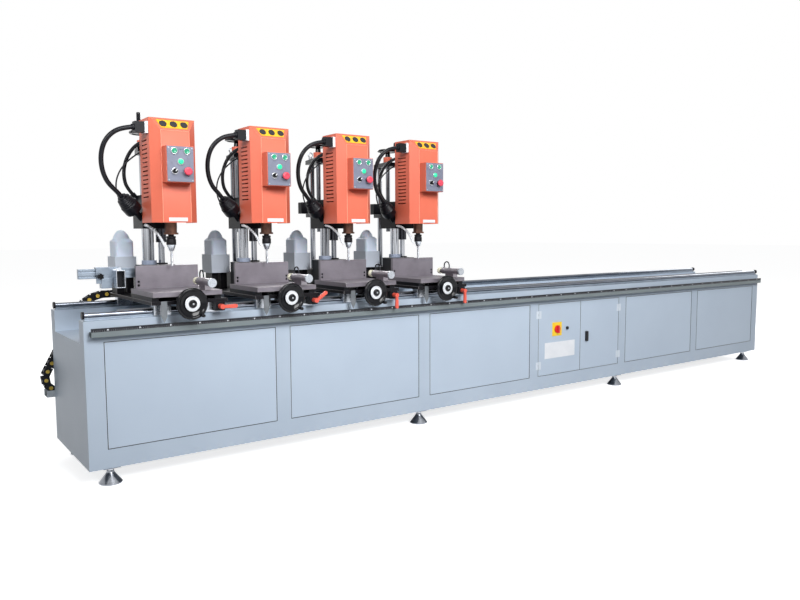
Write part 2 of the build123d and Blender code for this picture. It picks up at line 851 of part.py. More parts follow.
for hinge_z in hinge_heights:
    bed_plates.append(bed_hinge(hinge_left, 1, hinge_z))
    bed_plates.append(bed_hinge(hinge_right, -1, hinge_z))
write(grouped(bed_plates), "bed_frame")

# Fixed front panels
panel_layer = (bed_front, bed_front + PANEL_THICKNESS)
panels = []
for n, bay_left in enumerate(bay_lefts):
    if n != DOOR_BAY_INDEX:
        panel_x = (bay_left + PANEL_GAP, bay_left + bay_width - PANEL_GAP)
        panels.append(plate(panel_x, panel_layer, (door_low, door_high)))
write(grouped(panels), "front_panels")

# Left door with the switch plate, lamp and blank name plate
plate_layer = (bed_front - TRIM_SHEET, bed_front)
switch_hole = SWITCH_STEM + 2 * FIT
with BuildPart() as left_sheet:
    slab((hinge_left, door_middle - PANEL_GAP / 2), panel_layer, (door_low, door_high))
    bar_back((switch_x, switch_z), panel_layer, switch_hole, Mode.SUBTRACT)
with BuildPart() as switch_plate:
    slab(about(switch_x, SWITCH_PLATE), plate_layer, about(switch_z, SWITCH_PLATE))
    bar_back((switch_x, switch_z), plate_layer, switch_hole, Mode.SUBTRACT)
lamp_x = switch_x + SWITCH_PLATE / 2 + DOOR_LAMP_GAP
name_z = bed_base + NAME_PLATE_BOTTOM
name_x = (hinge_left + door_middle) / 2
left_door = [
    left_sheet.part,
    switch_plate.part,
    post_back((lamp_x, switch_z), (bed_front - DOOR_LAMP_DEPTH, bed_front), DOOR_LAMP),
    plate(about(name_x, NAME_PLATE_WIDTH), plate_layer, (name_z, name_z + NAME_PLATE_HEIGHT)),
]
left_door += [door_hinge(hinge_left, 1, hinge_z) for hinge_z in hinge_heights]
write(grouped(left_door), "left_door")

# Main switch: round knob with a grip bar, its stem through the door
knob_rear = switch_front - RUN
knob_front = knob_rear - SWITCH_DEPTH
with BuildPart() as main_switch:
    bar_back((switch_x, switch_z), (knob_front + SWITCH_GRIP, knob_rear), SWITCH_KNOB)
    grip_x = about(switch_x, SWITCH_GRIP)
    slab(grip_x, (knob_front, knob_front + SWITCH_GRIP), about(switch_z, SWITCH_KNOB))
    bar_back((switch_x, switch_z), (knob_rear, bed_front + BED_PLATE), SWITCH_STEM)
write(main_switch.part, "main_switch")

# Right door and its latch handle
latch_hole = LATCH_STEM + 2 * FIT
with BuildPart() as right_sheet:
    slab((door_middle + PANEL_GAP / 2, hinge_right), panel_layer, (door_low, door_high))
    bar_back((latch_x, latch_z), panel_layer, latch_hole, Mode.SUBTRACT)
right_door = [right_sheet.part]
right_door += [door_hinge(hinge_right, -1, hinge_z) for hinge_z in hinge_heights]
write(grouped(right_door), "right_door")

handle_rear = bed_front - RUN
with BuildPart() as door_latch:
    handle_y = (handle_rear - LATCH_DEPTH, handle_rear)
    slab(about(latch_x, LATCH_WIDTH), handle_y, (latch_top - LATCH_LENGTH, latch_top))
    fillet(door_latch.edges().filter_by(Axis.Y), LATCH_EDGE)
    bar_back((latch_x, latch_z), (handle_rear, bed_front + BED_PLATE), LATCH_STEM)
write(door_latch.part, "door_latch")

# Levelling feet: bell and stem, nut, flange under the bed
with BuildPart() as foot:
    with BuildSketch(Plane.XZ):
        with BuildLine():
            neck = FOOT_NECK / 2
            shoulder = FOOT_RIM + FOOT_BELL
            Polyline((0, floor_top), (0, 0), (FOOT_DIAMETER / 2, 0), (FOOT_DIAMETER / 2, FOOT_RIM))
            EllipticalCenterArc((neck, FOOT_RIM), FOOT_DIAMETER / 2 - neck, FOOT_BELL, 0, arc_size=90)
            stem = STEM_DIAMETER / 2
            Polyline((neck, shoulder), (stem, shoulder), (stem, floor_top), (0, floor_top))
        make_face()
    revolve(axis=Axis.Z)
flange_low = bed_base - FLANGE_THICKNESS
with BuildPart() as foot_nut:
    with BuildSketch(Plane.XY.offset(flange_low - FOOT_NUT_HEIGHT)):
        RegularPolygon(FOOT_NUT / 2, 6)
        Circle(STEM_DIAMETER / 2 + FIT, mode=Mode.SUBTRACT)
    extrude(amount=FOOT_NUT_HEIGHT)
with BuildPart() as foot_flange:
    slab(about(0, FLANGE_SIZE), about(0, FLANGE_SIZE), (flange_low, bed_base))
    bar_up((0, 0), (flange_low, bed_base), STEM_DIAMETER + 2 * FIT, Mode.SUBTRACT)
feet = []
for foot_x in foot_xs:
    for foot_y in foot_ys:
        for piece in (foot, foot_nut, foot_flange):
            feet.append(piece.part.moved(Location((foot_x, foot_y, 0))))
write(grouped(feet), "levelling_feet")

# Ledge, its steel rule and the rule's screws
ledge_x = (bed_left + LEDGE_START, bed_right - LEDGE_END)
with BuildPart() as ledge:
    slab(ledge_x, (rule_front, bed_front), (ledge_low, ledge_high))
    inner_y = (rule_front + LEDGE_WALL, bed_front - LEDGE_WALL)
    slab(ledge_x, inner_y, (ledge_low + LEDGE_WALL, ledge_high - LEDGE_WALL), Mode.SUBTRACT)
scale_ledge = [ledge.part]
scale_ledge.append(plate(ledge_x, (rule_front, rule_front + RULE_THICKNESS), (ledge_high, rule_high)))
screw_step = (ledge_x[1] - ledge_x[0]) / RULE_SCREWS
for n in range(RULE_SCREWS):
    screw_place = (ledge_x[0] + (n + 0.5) * screw_step, ledge_high + RULE_HEIGHT / 2)
    scale_ledge.append(post_back(screw_place, (rule_front - RULE_SCREW_HEAD, rule_front), RULE_SCREW))
write(grouped(scale_ledge), "scale_ledge")

# Guide rails on their supports, with a stop on each end
rail_x = (bed_left + RAIL_STOP_LENGTH, bed_right - RAIL_STOP_LENGTH)
guide_rails = []
for rail_y in rail_ys:
    with BuildPart() as shaft:
        bar_along((rail_y, rail_z), rail_x, RAIL_DIAMETER)
    with BuildPart() as support:
        slab(rail_x, about(rail_y, RAIL_BASE_WIDTH), (bed_top, bed_top + RAIL_BASE_HEIGHT))
        slab(rail_x, about(rail_y, RAIL_WEB), (bed_top + RAIL_BASE_HEIGHT, rail_z))
        bar_along((rail_y, rail_z), rail_x, RAIL_DIAMETER + 2 * FIT, Mode.SUBTRACT)
    with BuildPart() as left_stop:
        bar_along((rail_y, rail_z), (bed_left, rail_x[0]), RAIL_STOP_DIAMETER)
    with BuildPart() as right_stop:
        bar_along((rail_y, rail_z), (rail_x[1], bed_right), RAIL_STOP_DIAMETER)
    guide_rails += [shaft.part, support.part, left_stop.part, right_stop.part]
write(grouped(guide_rails), "guide_rails")

# Feed rack, in bars; a tooth stands under each pinion's axis
tooth_half = (pitch - BACKLASH) / 4
slant = math.tan(math.radians(PRESSURE_ANGLE))
tip_half = tooth_half - ADDENDUM * slant
root_half = tooth_half + DEDENDUM * slant
rack_start = head_xs[0] + WHEEL_X - RACK_TEETH_LEFT * pitch
outline = [(rack_start - pitch / 2, bed_top), (rack_start - pitch / 2, rack_z - DEDENDUM)]
for tooth in range(RACK_BAR_TEETH):
    tooth_x = rack_start + tooth * pitch
    outline.append((tooth_x - root_half, rack_z - DEDENDUM))
    outline.append((tooth_x - tip_half, rack_z + ADDENDUM))
    outline.append((tooth_x + tip_half, rack_z + ADDENDUM))
    outline.append((tooth_x + root_half, rack_z - DEDENDUM))
rack_end = rack_start + (RACK_BAR_TEETH - 0.5) * pitch
outline += [(rack_end, rack_z - DEDENDUM), (rack_end, bed_top)]
with BuildPart() as rack_bar:
    with BuildSketch(Plane.XZ.offset(-rack_ys[0])):
        with BuildLine():
            Polyline(*outline, close=True)
        make_face()
    extrude(amount=-RACK_WIDTH)
bar_length = RACK_BAR_TEETH * pitch
rack = [rack_bar.part.moved(Location((n * bar_length, 0, 0))) for n in range(RACK_BARS)]
write(grouped(rack), "feed_rack")

# Energy chain: a tray run, a bend upwards, a slanting run and a bend to the first carriage
rise = math.radians(CHAIN_RISE_ANGLE)
turn_x = bed_left + CHAIN_BEND_X
turn_z = bed_base + CHAIN_BEND_HEIGHT
crest_z = (block_top + plate_top) / 2 - CHAIN_TOP_BEND
crest_gap = (crest_z - turn_z) * math.cos(rise) + CHAIN_TOP_BEND - CHAIN_BEND
crest_x = turn_x + crest_gap / math.sin(rise)
chain_end = head_xs[0] + BOOM_X - BOOM_WIDTH / 2
chain_y = about(bed_rear + TRAY_WIDTH / 2, CHAIN_WIDTH)


# One side of the chain, or its middle line: offset is to the outside of the bends
def chain_line(offset):
    bend = CHAIN_BEND + offset
    crest = CHAIN_TOP_BEND + offset
    across = (-math.sin(rise), math.cos(rise))
    sweep_low = -(180 - CHAIN_RISE_ANGLE)
    Line((tray_x[1], turn_z - bend), (turn_x, turn_z - bend))
    CenterArc((turn_x, turn_z), bend, 270, sweep_low)
    Line(
        (turn_x + bend * across[0], turn_z + bend * across[1]),
        (crest_x + crest * across[0], crest_z + crest * across[1]),
    )
    CenterArc((crest_x, crest_z), crest, 90 + CHAIN_RISE_ANGLE, -CHAIN_RISE_ANGLE)
    Line((crest_x, crest_z + crest), (chain_end, crest_z + crest))


half_chain = CHAIN_HEIGHT / 2
with BuildPart() as energy_chain:
    with BuildSketch(Plane.XZ.offset(-chain_y[0])):
        with BuildLine():
            chain_line(half_chain)
            chain_line(-half_chain)
            for end_x, end_z in ((tray_x[1], turn_z - CHAIN_BEND), (chain_end, crest_z + CHAIN_TOP_BEND)):
                Line((end_x, end_z - half_chain), (end_x, end_z + half_chain))
        make_face()
    extrude(amount=-CHAIN_WIDTH)
    with BuildLine(Plane.XZ.offset(-bed_rear - TRAY_WIDTH / 2), mode=Mode.PRIVATE) as chain_middle:
        chain_line(0)
    chain_wire = chain_middle.wire()
    tray_run = tray_x[1] - turn_x
    links = int((chain_wire.length - tray_run) / CHAIN_LINK)
    for link in range(1, links):
        along = 1 - link * CHAIN_LINK / chain_wire.length
        station = Plane(origin=chain_wire @ along, x_dir=(0, 1, 0), z_dir=chain_wire % along)
        for side in (-half_chain, half_chain):
            with Locations(station.location * Location((0, side, 0))):
                Box(CHAIN_WIDTH, 2 * CHAIN_NOTCH, CHAIN_NOTCH_WIDTH, mode=Mode.SUBTRACT)
write(energy_chain.part, "energy_chain")

# Carriage: base plate, bearing blocks, risers and table
rack_rear = rack_ys[1]
notch_side = pinion_radius + ADDENDUM + PLATE_NOTCH_SIDE
with BuildPart() as base_plate:
    slab((-PLATE_HALF, PLATE_HALF), (plate_front, plate_rear), (block_top, plate_top))
    notch_y = (plate_front, rack_rear + PLATE_NOTCH_BEHIND)
    slab(about(WHEEL_X, 2 * notch_side), notch_y, (block_top, plate_top), Mode.SUBTRACT)
carriage = [base_plate.part]
for block_x in (-BLOCK_SPREAD, BLOCK_SPREAD):
    for rail_y in rail_ys:
        with BuildPart() as bearing_block:
            block_xs = about(block_x, BLOCK_LENGTH)
            slab(block_xs, about(rail_y, BLOCK_WIDTH), (block_low, block_top))
            bar_along((rail_y, rail_z), block_xs, RAIL_DIAMETER + 2 * FIT, Mode.SUBTRACT)
            slab(block_xs, about(rail_y, BLOCK_SLOT), (block_low, rail_z), Mode.SUBTRACT)
        carriage.append(bearing_block.part)
for side_x in ((-TABLE_LEFT, -TABLE_LEFT + RISER_WIDTH), (TABLE_RIGHT - RISER_WIDTH, TABLE_RIGHT)):
    carriage.append(plate(side_x, (plate_front, table_rear), (plate_top, riser_top)))
carriage.append(plate((-TABLE_LEFT, TABLE_RIGHT), (table_front, table_rear), (riser_top, table_top)))

# Fence with recessed screws
fence_screws = []
for screw_x in (-FENCE_LEFT + FENCE_SCREW_INSET, FENCE_RIGHT - FENCE_SCREW_INSET):
    for height in FENCE_SCREW_HEIGHTS:
        fence_screws.append((screw_x, table_top + height))
recess = fence_front + FENCE_SCREW_DEPTH
with BuildPart() as fence:
    slab((-FENCE_LEFT, FENCE_RIGHT), (fence_front, fence_rear), (table_top, fence_top))
    for place in fence_screws:
        bar_back(place, (fence_front, recess), FENCE_SCREW + 2 * RUN, Mode.SUBTRACT)
carriage.append(fence.part)
for place in fence_screws:
    carriage.append(post_back(place, (recess - FENCE_SCREW_HEAD, recess), FENCE_SCREW))

# Shaft housing under the table, position pointer and lock block
with BuildPart() as shaft_housing:
    housing_y = (bed_front - HOUSING_FRONT, bed_front + HOUSING_REAR)
    slab(about(WHEEL_X, 2 * HOUSING_SIDE), housing_y, (wheel_z - HOUSING_BELOW, riser_top))
    bar_back((WHEEL_X, wheel_z), housing_y, SHAFT_DIAMETER + 2 * FIT, Mode.SUBTRACT)
with BuildPart() as pointer:
    with BuildSketch(Plane.XZ.offset(-plate_front)):
        with BuildLine():
            tip_z = rule_high + POINTER_TIP
            side = POINTER_WIDTH / 2
            Polyline(
                (POINTER_X, tip_z),
                (POINTER_X + side, tip_z + POINTER_WIDTH),
                (POINTER_X + side, plate_top),
                (POINTER_X - side, plate_top),
                (POINTER_X - side, tip_z + POINTER_WIDTH),
                close=True,
            )
        make_face()
    extrude(amount=POINTER_SHEET)
with BuildPart() as lock_block:
    lock_y = (lock_front, lock_front + LOCK_DEPTH)
    slab(about(LOCK_X, 2 * LOCK_SIDE), lock_y, (block_top - LOCK_HEIGHT, block_top))
    stud_y = (lock_front, lock_front + LOCK_STUD_DEPTH + RUN)
    bar_back((LOCK_X, lock_z), stud_y, LOCK_STUD + 2 * FIT, Mode.SUBTRACT)
carriage += [shaft_housing.part, pointer.part, lock_block.part]

# Clamp cylinder on its bracket, end cap and air pipe
with BuildPart() as clamp_body:
    bar_back((CLAMP_X, clamp_z), (clamp_front, clamp_rear), CLAMP_DIAMETER)
    bracket_y = (bed_front - CLAMP_BRACKET_FRONT, bed_front + CLAMP_BRACKET_REAR)
    slab(about(CLAMP_X, CLAMP_BRACKET), bracket_y, (table_top, clamp_z))
    for leg in CLAMP_PIPE_LEGS:
        bar_up((CLAMP_X, bed_front + leg), (clamp_z, clamp_z + CLAMP_BOSS_RISE), CLAMP_BOSS)
    bore_y = (clamp_rear - RAM_DEPTH, clamp_rear)
    bar_back((CLAMP_X, clamp_z), bore_y, RAM_DIAMETER + 2 * FIT, Mode.SUBTRACT)
with BuildPart() as clamp_pipe:
    leg_ys = [bed_front + leg for leg in CLAMP_PIPE_LEGS]
    pipe_low = clamp_z + CLAMP_BOSS_RISE
    pipe_top = clamp_z + CLAMP_PIPE_TOP
    with BuildLine() as pipe_path:
        FilletPolyline(
            (CLAMP_X, leg_ys[0], pipe_low),
            (CLAMP_X, leg_ys[0], pipe_top),
            (CLAMP_X, leg_ys[1], pipe_top),
            (CLAMP_X, leg_ys[1], pipe_low),
            radius=CLAMP_PIPE_BEND,
        )
    with BuildSketch(Plane.XY.offset(pipe_low)):
        with Locations((CLAMP_X, leg_ys[0])):
            Circle(CLAMP_PIPE / 2)
    sweep(path=pipe_path.wire())
carriage += [clamp_body.part, clamp_pipe.part]
carriage.append(post_back((CLAMP_X, clamp_z), (clamp_front - CLAMP_CAP_LENGTH, clamp_front), CLAMP_CAP))

# Coolant canister in its holder on two legs
canister_y = bed_front + CANISTER_Y
holder_low = plate_top + HOLDER_LEGS
holder_width = CANISTER_WIDTH + 2 * HOLDER_PLAY
holder_depth = CANISTER_DEPTH + 2 * HOLDER_PLAY
canister_low = holder_low + HOLDER_SHEET
canister_top = canister_low + CANISTER_HEIGHT
neck_top = canister_top + CANISTER_NECK_HEIGHT
canister_at = (CANISTER_X, canister_y)
with BuildPart() as holder:
    holder_x = about(CANISTER_X, holder_width + 2 * HOLDER_SHEET)
    holder_y = about(canister_y, holder_depth + 2 * HOLDER_SHEET)
    slab(holder_x, holder_y, (holder_low, holder_low + HOLDER_HEIGHT))
    inside = (canister_low, holder_low + HOLDER_HEIGHT)
    slab(about(CANISTER_X, holder_width), about(canister_y, holder_depth), inside, Mode.SUBTRACT)
shoulder_low = canister_top - CANISTER_SHOULDER
canister_layers = (
    (shoulder_low, 0.0, CANISTER_EDGE),
    (canister_top, CANISTER_SHOULDER, CANISTER_TOP_EDGE),
)
with BuildPart() as canister:
    with BuildSketch(Plane.XY.offset(canister_low)):
        with Locations(canister_at):
            RectangleRounded(CANISTER_WIDTH, CANISTER_DEPTH, CANISTER_EDGE)
    extrude(amount=shoulder_low - canister_low)
    for layer, inset, edge in canister_layers:
        with BuildSketch(Plane.XY.offset(layer)):
            with Locations(canister_at):
                RectangleRounded(CANISTER_WIDTH - 2 * inset, CANISTER_DEPTH - 2 * inset, edge)
    loft()
    bar_up(canister_at, (canister_top, neck_top), CANISTER_NECK)
carriage += [holder.part, canister.part]
carriage.append(post_up(canister_at, (neck_top, neck_top + CANISTER_CAP_HEIGHT), CANISTER_CAP))
for side in (-HOLDER_LEG_SPREAD, HOLDER_LEG_SPREAD):
    leg_x = about(CANISTER_X + side, HOLDER_LEG_WIDTH)
    carriage.append(plate(leg_x, about(canister_y, HOLDER_LEG_DEPTH), (plate_top, holder_low)))

# Column base, lift column, guide rod, rear post and crown
column_z = (base_top, base_top + COLUMN_HEIGHT)
base_rear_y = (base_rear, bed_front + BASE_REAR_END)
journal = SCREW_JOURNAL + 2 * FIT
with BuildPart() as crown:
    crown_y = (bed_front + CROWN_FRONT, bed_front + CROWN_REAR)
    with BuildSketch(Plane.XY.offset(crown_low)):
        with BuildLine():
            Polyline(
                (-CROWN_LEFT, crown_y[0]),
                (CROWN_RIGHT, crown_y[0]),
                (CROWN_RIGHT, crown_y[1]),
                (-CROWN_REAR_LEFT, crown_y[1]),
                close=True,
            )
        make_face()
    extrude(amount=CROWN_THICKNESS)
    bar_up(screw_at, (crown_low, crown_top), journal, Mode.SUBTRACT)
with BuildPart() as eye_bolt:
    eye_at = (EYE_X, bed_front + EYE_Y)
    bar_up(eye_at, (crown_top, crown_top + EYE_FOOT_HEIGHT), EYE_FOOT)
    with Locations((*eye_at, crown_top + EYE_FOOT_HEIGHT + EYE_RADIUS)):
        Torus(EYE_RADIUS, EYE_WIRE, rotation=(90, 0, 0))
carriage += [
    plate((-BASE_LEFT, BASE_RIGHT), (base_front, base_rear), (plate_top, base_top)),
    plate((-BASE_REAR_SIDE, BASE_REAR_SIDE), base_rear_y, (plate_top, base_low_top)),
    post_up(column_at, column_z, COLUMN_DIAMETER),
    ring_up(column_at, (base_top, base_top + COLUMN_COLLAR_HEIGHT), COLUMN_COLLAR, COLUMN_DIAMETER),
    post_up(rod_at, column_z, ROD_DIAMETER),
    ring_up(rod_at, (base_top, base_top + ROD_FLANGE_HEIGHT), ROD_FLANGE, ROD_DIAMETER),
    post_up(post_at, (base_low_top, crown_low), POST_DIAMETER),
    crown.part,
    ring_up(screw_at, (crown_top, lift_collar_top), LIFT_COLLAR, SCREW_JOURNAL),
    eye_bolt.part,
]

# Slotted rail of the length stop, and the boom that carries the chain
rail_low = table_top + STOP_RAIL_RISE
rail_high = rail_low + STOP_RAIL_HEIGHT
rail_front = base_front - STOP_RAIL_DEPTH
with BuildPart() as stop_rail:
    stop_rail_x = (-STOP_RAIL_LEFT, -STOP_RAIL_RIGHT)
    slab(stop_rail_x, (rail_front, base_front), (rail_low, rail_high))
    for share in STOP_RAIL_SLOT_SHARES:
        slot_z = about(rail_low + share * STOP_RAIL_HEIGHT, STOP_RAIL_SLOT)
        slab(stop_rail_x, (rail_front, rail_front + STOP_RAIL_SLOT), slot_z, Mode.SUBTRACT)
boom = plate(about(BOOM_X, BOOM_WIDTH), (plate_rear, chain_y[1]), (block_top, plate_top))
carriage_extras = [[stop_rail.part, boom], [], [], []]
for n, head_x in enumerate(head_xs):
    write(grouped(carriage + carriage_extras[n]), f"carriage_{n + 1}", head_x)

# Length stop: square tube on a shoe that clasps the slotted rail, with a star knob
shoe_rear = rail_front - RUN
shoe_y = (shoe_rear - STOP_SHOE, shoe_rear)
tube_z = table_top + STOP_TUBE_RISE
shoe_x = (STOP_X - STOP_SHOE_LEFT, STOP_X + STOP_TUBE_WIDTH / 2)
knob_at = (STOP_X - STOP_SHOE_LEFT + STOP_KNOB / 2, rail_low + STOP_RAIL_SLOT_SHARES[0] * STOP_RAIL_HEIGHT)
with BuildPart() as stop_body:
    tube_y = (shoe_rear - STOP_TUBE_LENGTH, shoe_rear)
    slab(about(STOP_X, STOP_TUBE_WIDTH), tube_y, (tube_z, tube_z + STOP_TUBE_HEIGHT))
    inner_z = (tube_z + STOP_WALL, tube_z + STOP_TUBE_HEIGHT - STOP_WALL)
    slab(about(STOP_X, STOP_TUBE_WIDTH - 2 * STOP_WALL), tube_y, inner_z, Mode.SUBTRACT)
    slab(shoe_x, shoe_y, (rail_low - STOP_BRACKET_HEIGHT / 2, rail_high + RUN + STOP_LIP))
    slab(shoe_x, (shoe_rear, base_front), (rail_high + RUN, rail_high + RUN + STOP_LIP))
    bracket_x = about(STOP_X - STOP_TUBE_WIDTH - STOP_SHOE, STOP_BRACKET_WIDTH)
    bracket_y = (base_front - STOP_BRACKET_DEPTH, base_front)
    slab(bracket_x, bracket_y, (rail_low - RUN - STOP_BRACKET_HEIGHT, rail_low - RUN))
with BuildPart() as star_knob:
    with BuildSketch(Plane.XZ.offset(-shoe_y[0] + STOP_KNOB_STUD)):
        with Locations(knob_at):
            Circle(STOP_KNOB / 2)
            with PolarLocations(STOP_KNOB * STOP_KNOB_NOTCH_PLACE, STOP_KNOB_LOBES):
                Circle(STOP_KNOB * STOP_KNOB_NOTCH_SIZE, mode=Mode.SUBTRACT)
    extrude(amount=STOP_KNOB_DEPTH)
    bar_back(knob_at, (shoe_y[0] - STOP_KNOB_STUD, shoe_y[0]), STOP_KNOB_STEM)
write(grouped([stop_body.part, star_knob.part]), "length_stop", head_xs[0])


# Feed hand wheel with its dial, grip, shaft and pinion
def pinion_outline():
    base_radius = pinion_radius * math.cos(math.radians(PRESSURE_ANGLE))
    tip_radius = pinion_radius + ADDENDUM
    root_radius = pinion_radius - DEDENDUM

    def involute(radius):
        roll = math.acos(min(1.0, base_radius / radius))
        return math.tan(roll) - roll

    half_angle = (pitch - BACKLASH) / (4 * pinion_radius) + involute(pinion_radius)
    flank_step = (tip_radius - base_radius) / FLANK_STEPS
    flank = [base_radius + n * flank_step for n in range(FLANK_STEPS + 1)]
    sides = [(root_radius, half_angle)] + [(r, half_angle - involute(r)) for r in flank]
    points = []
    for tooth in range(PINION_TEETH):
        middle = -math.pi / 2 + (tooth + 0.5) * 2 * math.pi / PINION_TEETH
        ordered = [(r, middle - a) for r, a in sides] + [(r, middle + a) for r, a in reversed(sides)]
        points += [(WHEEL_X + r * math.cos(a), wheel_z + r * math.sin(a)) for r, a in ordered]
    return points


rim_radius = (WHEEL_DIAMETER - WHEEL_RIM) / 2
wheel_at = (WHEEL_X, wheel_z)
hub_y = about(wheel_y, WHEEL_HUB_LENGTH)
grip_turn = math.radians(GRIP_ANGLE)
grip_at = (WHEEL_X + rim_radius * math.cos(grip_turn), wheel_z + rim_radius * math.sin(grip_turn))
grip_rear = wheel_y - WHEEL_RIM / 2
with BuildPart() as hand_wheel:
    with Locations((WHEEL_X, wheel_y, wheel_z)):
        Torus(rim_radius, WHEEL_RIM / 2, rotation=(90, 0, 0))
    bar_back(wheel_at, hub_y, WHEEL_HUB)
    bar_back(wheel_at, about(wheel_y, WHEEL_WEB), 2 * rim_radius)
    bar_back(grip_at, (grip_rear, wheel_y), GRIP_BOSS)
    bar_back(wheel_at, hub_y, SHAFT_DIAMETER + 2 * FIT, Mode.SUBTRACT)
with BuildPart() as feed_shaft:
    with BuildSketch(Plane.XZ.offset(-rack_ys[0])):
        with BuildLine():
            Polyline(*pinion_outline(), close=True)
        make_face()
    extrude(amount=-RACK_WIDTH)
    bar_back(wheel_at, (hub_y[0], rack_ys[0]), SHAFT_DIAMETER)
dial_y = (wheel_y - WHEEL_WEB / 2 - DIAL_SHEET, wheel_y - WHEEL_WEB / 2)
handwheel = [
    hand_wheel.part,
    feed_shaft.part,
    ring_back(wheel_at, dial_y, DIAL_OUTER, WHEEL_HUB + 2 * FIT),
    post_back(grip_at, (grip_rear - GRIP_LENGTH, grip_rear), GRIP_DIAMETER),
]
handwheel_node = grouped(handwheel)

# Carriage lock lever, pointing along +X
lever_rear = lock_front - RUN
lever_front = lever_rear - LEVER_HUB_LENGTH
with BuildPart() as lock_lever:
    bar_back((LOCK_X, lock_z), (lever_front, lever_rear), LEVER_HUB)
    with BuildSketch(Plane.XZ.offset(-lever_front - LEVER_THICKNESS)):
        with BuildLine():
            Polyline(
                (LOCK_X, lock_z - LEVER_ROOT / 2),
                (LOCK_X + LEVER_ARM, lock_z - LEVER_TIP / 2),
                (LOCK_X + LEVER_ARM, lock_z + LEVER_TIP / 2),
                (LOCK_X, lock_z + LEVER_ROOT / 2),
                close=True,
            )
        make_face()
        with Locations((LOCK_X + LEVER_ARM, lock_z)):
            Circle(LEVER_TIP / 2)
    extrude(amount=LEVER_THICKNESS)
    bar_back((LOCK_X, lock_z), (lever_rear, lock_front + LOCK_STUD_DEPTH), LOCK_STUD)
lever_axis = Axis((LOCK_X, lock_front, lock_z), (0, -1, 0))

# Clamp ram with its pad
pad_y = (clamp_rear + RAM_REACH, clamp_rear + RAM_REACH + PAD_LENGTH)
ram = grouped(
    [
        post_back((CLAMP_X, clamp_z), (clamp_rear - RAM_DEPTH + RUN, pad_y[0]), RAM_DIAMETER),
        post_back((CLAMP_X, clamp_z), pad_y, PAD_DIAMETER),
    ]
)

# Lift screw with its dished hand wheel
rim_z = lift_wheel_low + LIFT_RIM_HEIGHT / 2
lift_top = lift_hub_low + LIFT_HUB_HEIGHT
lift_rim = (LIFT_WHEEL - LIFT_RIM) / 2
with BuildPart() as lift_screw:
    bar_up(screw_at, (head_z - SCREW_END, crown_low - RUN), SCREW_DIAMETER)
    bar_up(screw_at, (crown_low - RUN, lift_top), SCREW_JOURNAL)


# The grip stands on the rim at the given angle
def lift_wheel(angle, height):
    turn = math.radians(angle)
    grip = (screw_at[0] + lift_rim * math.cos(turn), screw_at[1] + lift_rim * math.sin(turn))
    with BuildPart() as wheel:
        with Locations((*screw_at, (lift_hub_low + lift_top) / 2)):
            Cone(LIFT_HUB / 2, LIFT_HUB_TOP / 2, LIFT_HUB_HEIGHT)
        bar_up(screw_at, about(rim_z, LIFT_WEB), 2 * lift_rim)
        with Locations((*screw_at, rim_z)):
            Torus(lift_rim, LIFT_RIM / 2)
        bar_up(grip, (rim_z, rim_z + LIFT_RIM / 2), LIFT_GRIP)
        bar_up(screw_at, (lift_hub_low, lift_top), journal, Mode.SUBTRACT)
    grip_low = rim_z + LIFT_RIM / 2
    grip_post = post_up(grip, (grip_low, grip_low + height), LIFT_GRIP)
    return grouped([wheel.part, lift_screw.part, grip_post])


# Hose routes: straight runs joined by arcs as large as the runs allow
def hose_places(points):
    return [Vector(x, drill_y + y, head_z + z) for x, y, z in points]


def bend_radii(places):
    radii = []
    for before, at, after in zip(places, places[1:], places[2:]):
        shorter = min((at - before).length, (after - at).length)
        half_turn = math.radians((at - before).get_angle(after - at) / 2)
        radii.append(BEND_SHARE * shorter / math.tan(half_turn))
    return radii


# The plane at a hose's end, facing along the hose and out of it
def hose_end(places):
    return Plane(origin=places[-1], z_dir=places[-1] - places[-2])


def hose(name, points, diameter):
    places = hose_places(points)
    radii = bend_radii(places)
    with BuildPart() as tube:
        with BuildLine() as path:
            FilletPolyline(*places, radius=radii)
        with BuildSketch(Plane(origin=places[0], z_dir=places[1] - places[0])):
            Circle(diameter / 2)
        sweep(path=path.wire())
    expected = math.pi * diameter**2 / 4 * path.wire().length
    print(name, "radii", [round(radius) for radius in radii], "length", round(path.wire().length))
    print(name, "volume over section times length", round(tube.part.volume / expected, 4))
    return tube.part


main_places = hose_places(MAIN_HOSE_POINTS)
second_places = hose_places(SECOND_HOSE_POINTS)
air_places = hose_places(AIR_TUBE_POINTS)
coolant_places = hose_places(COOLANT_POINTS)

# Jointed coolant hose: a row of ribs with a bore
coolant_radii = bend_radii(coolant_places)
with BuildPart() as coolant_hose:
    with BuildLine(mode=Mode.PRIVATE) as coolant_path:
        FilletPolyline(*coolant_places, radius=coolant_radii)
    coolant_wire = coolant_path.wire()
    rib_shares = (0.0, *COOLANT_RIB_SHARES)
    rib_sizes = (COOLANT_NECK, COOLANT_HOSE, COOLANT_HOSE, COOLANT_NECK)
    stations = []
    for rib in range(COOLANT_RIBS):
        for rib_share, size in zip(rib_shares, rib_sizes):
            stations.append(((rib + rib_share) / COOLANT_RIBS, size))
    stations.append((1.0, COOLANT_NECK))
    for along, size in stations:
        with BuildSketch(Plane(origin=coolant_wire @ along, x_dir=(1, 0, 0), z_dir=coolant_wire % along)):
            Circle(size / 2)
    loft(ruled=True)
    with BuildSketch(Plane(origin=coolant_places[0], z_dir=coolant_places[1] - coolant_places[0])):
        Circle(COOLANT_BORE / 2)
    sweep(path=coolant_wire, mode=Mode.SUBTRACT)
with BuildPart() as nozzle:
    with Locations(hose_end(coolant_places).offset(NOZZLE_LENGTH / 2)):
        Cone(COOLANT_NECK / 2, NOZZLE_TIP / 2, NOZZLE_LENGTH)
print("coolant hose radii", [round(radius) for radius in coolant_radii])
print("coolant hose length", round(coolant_wire.length))

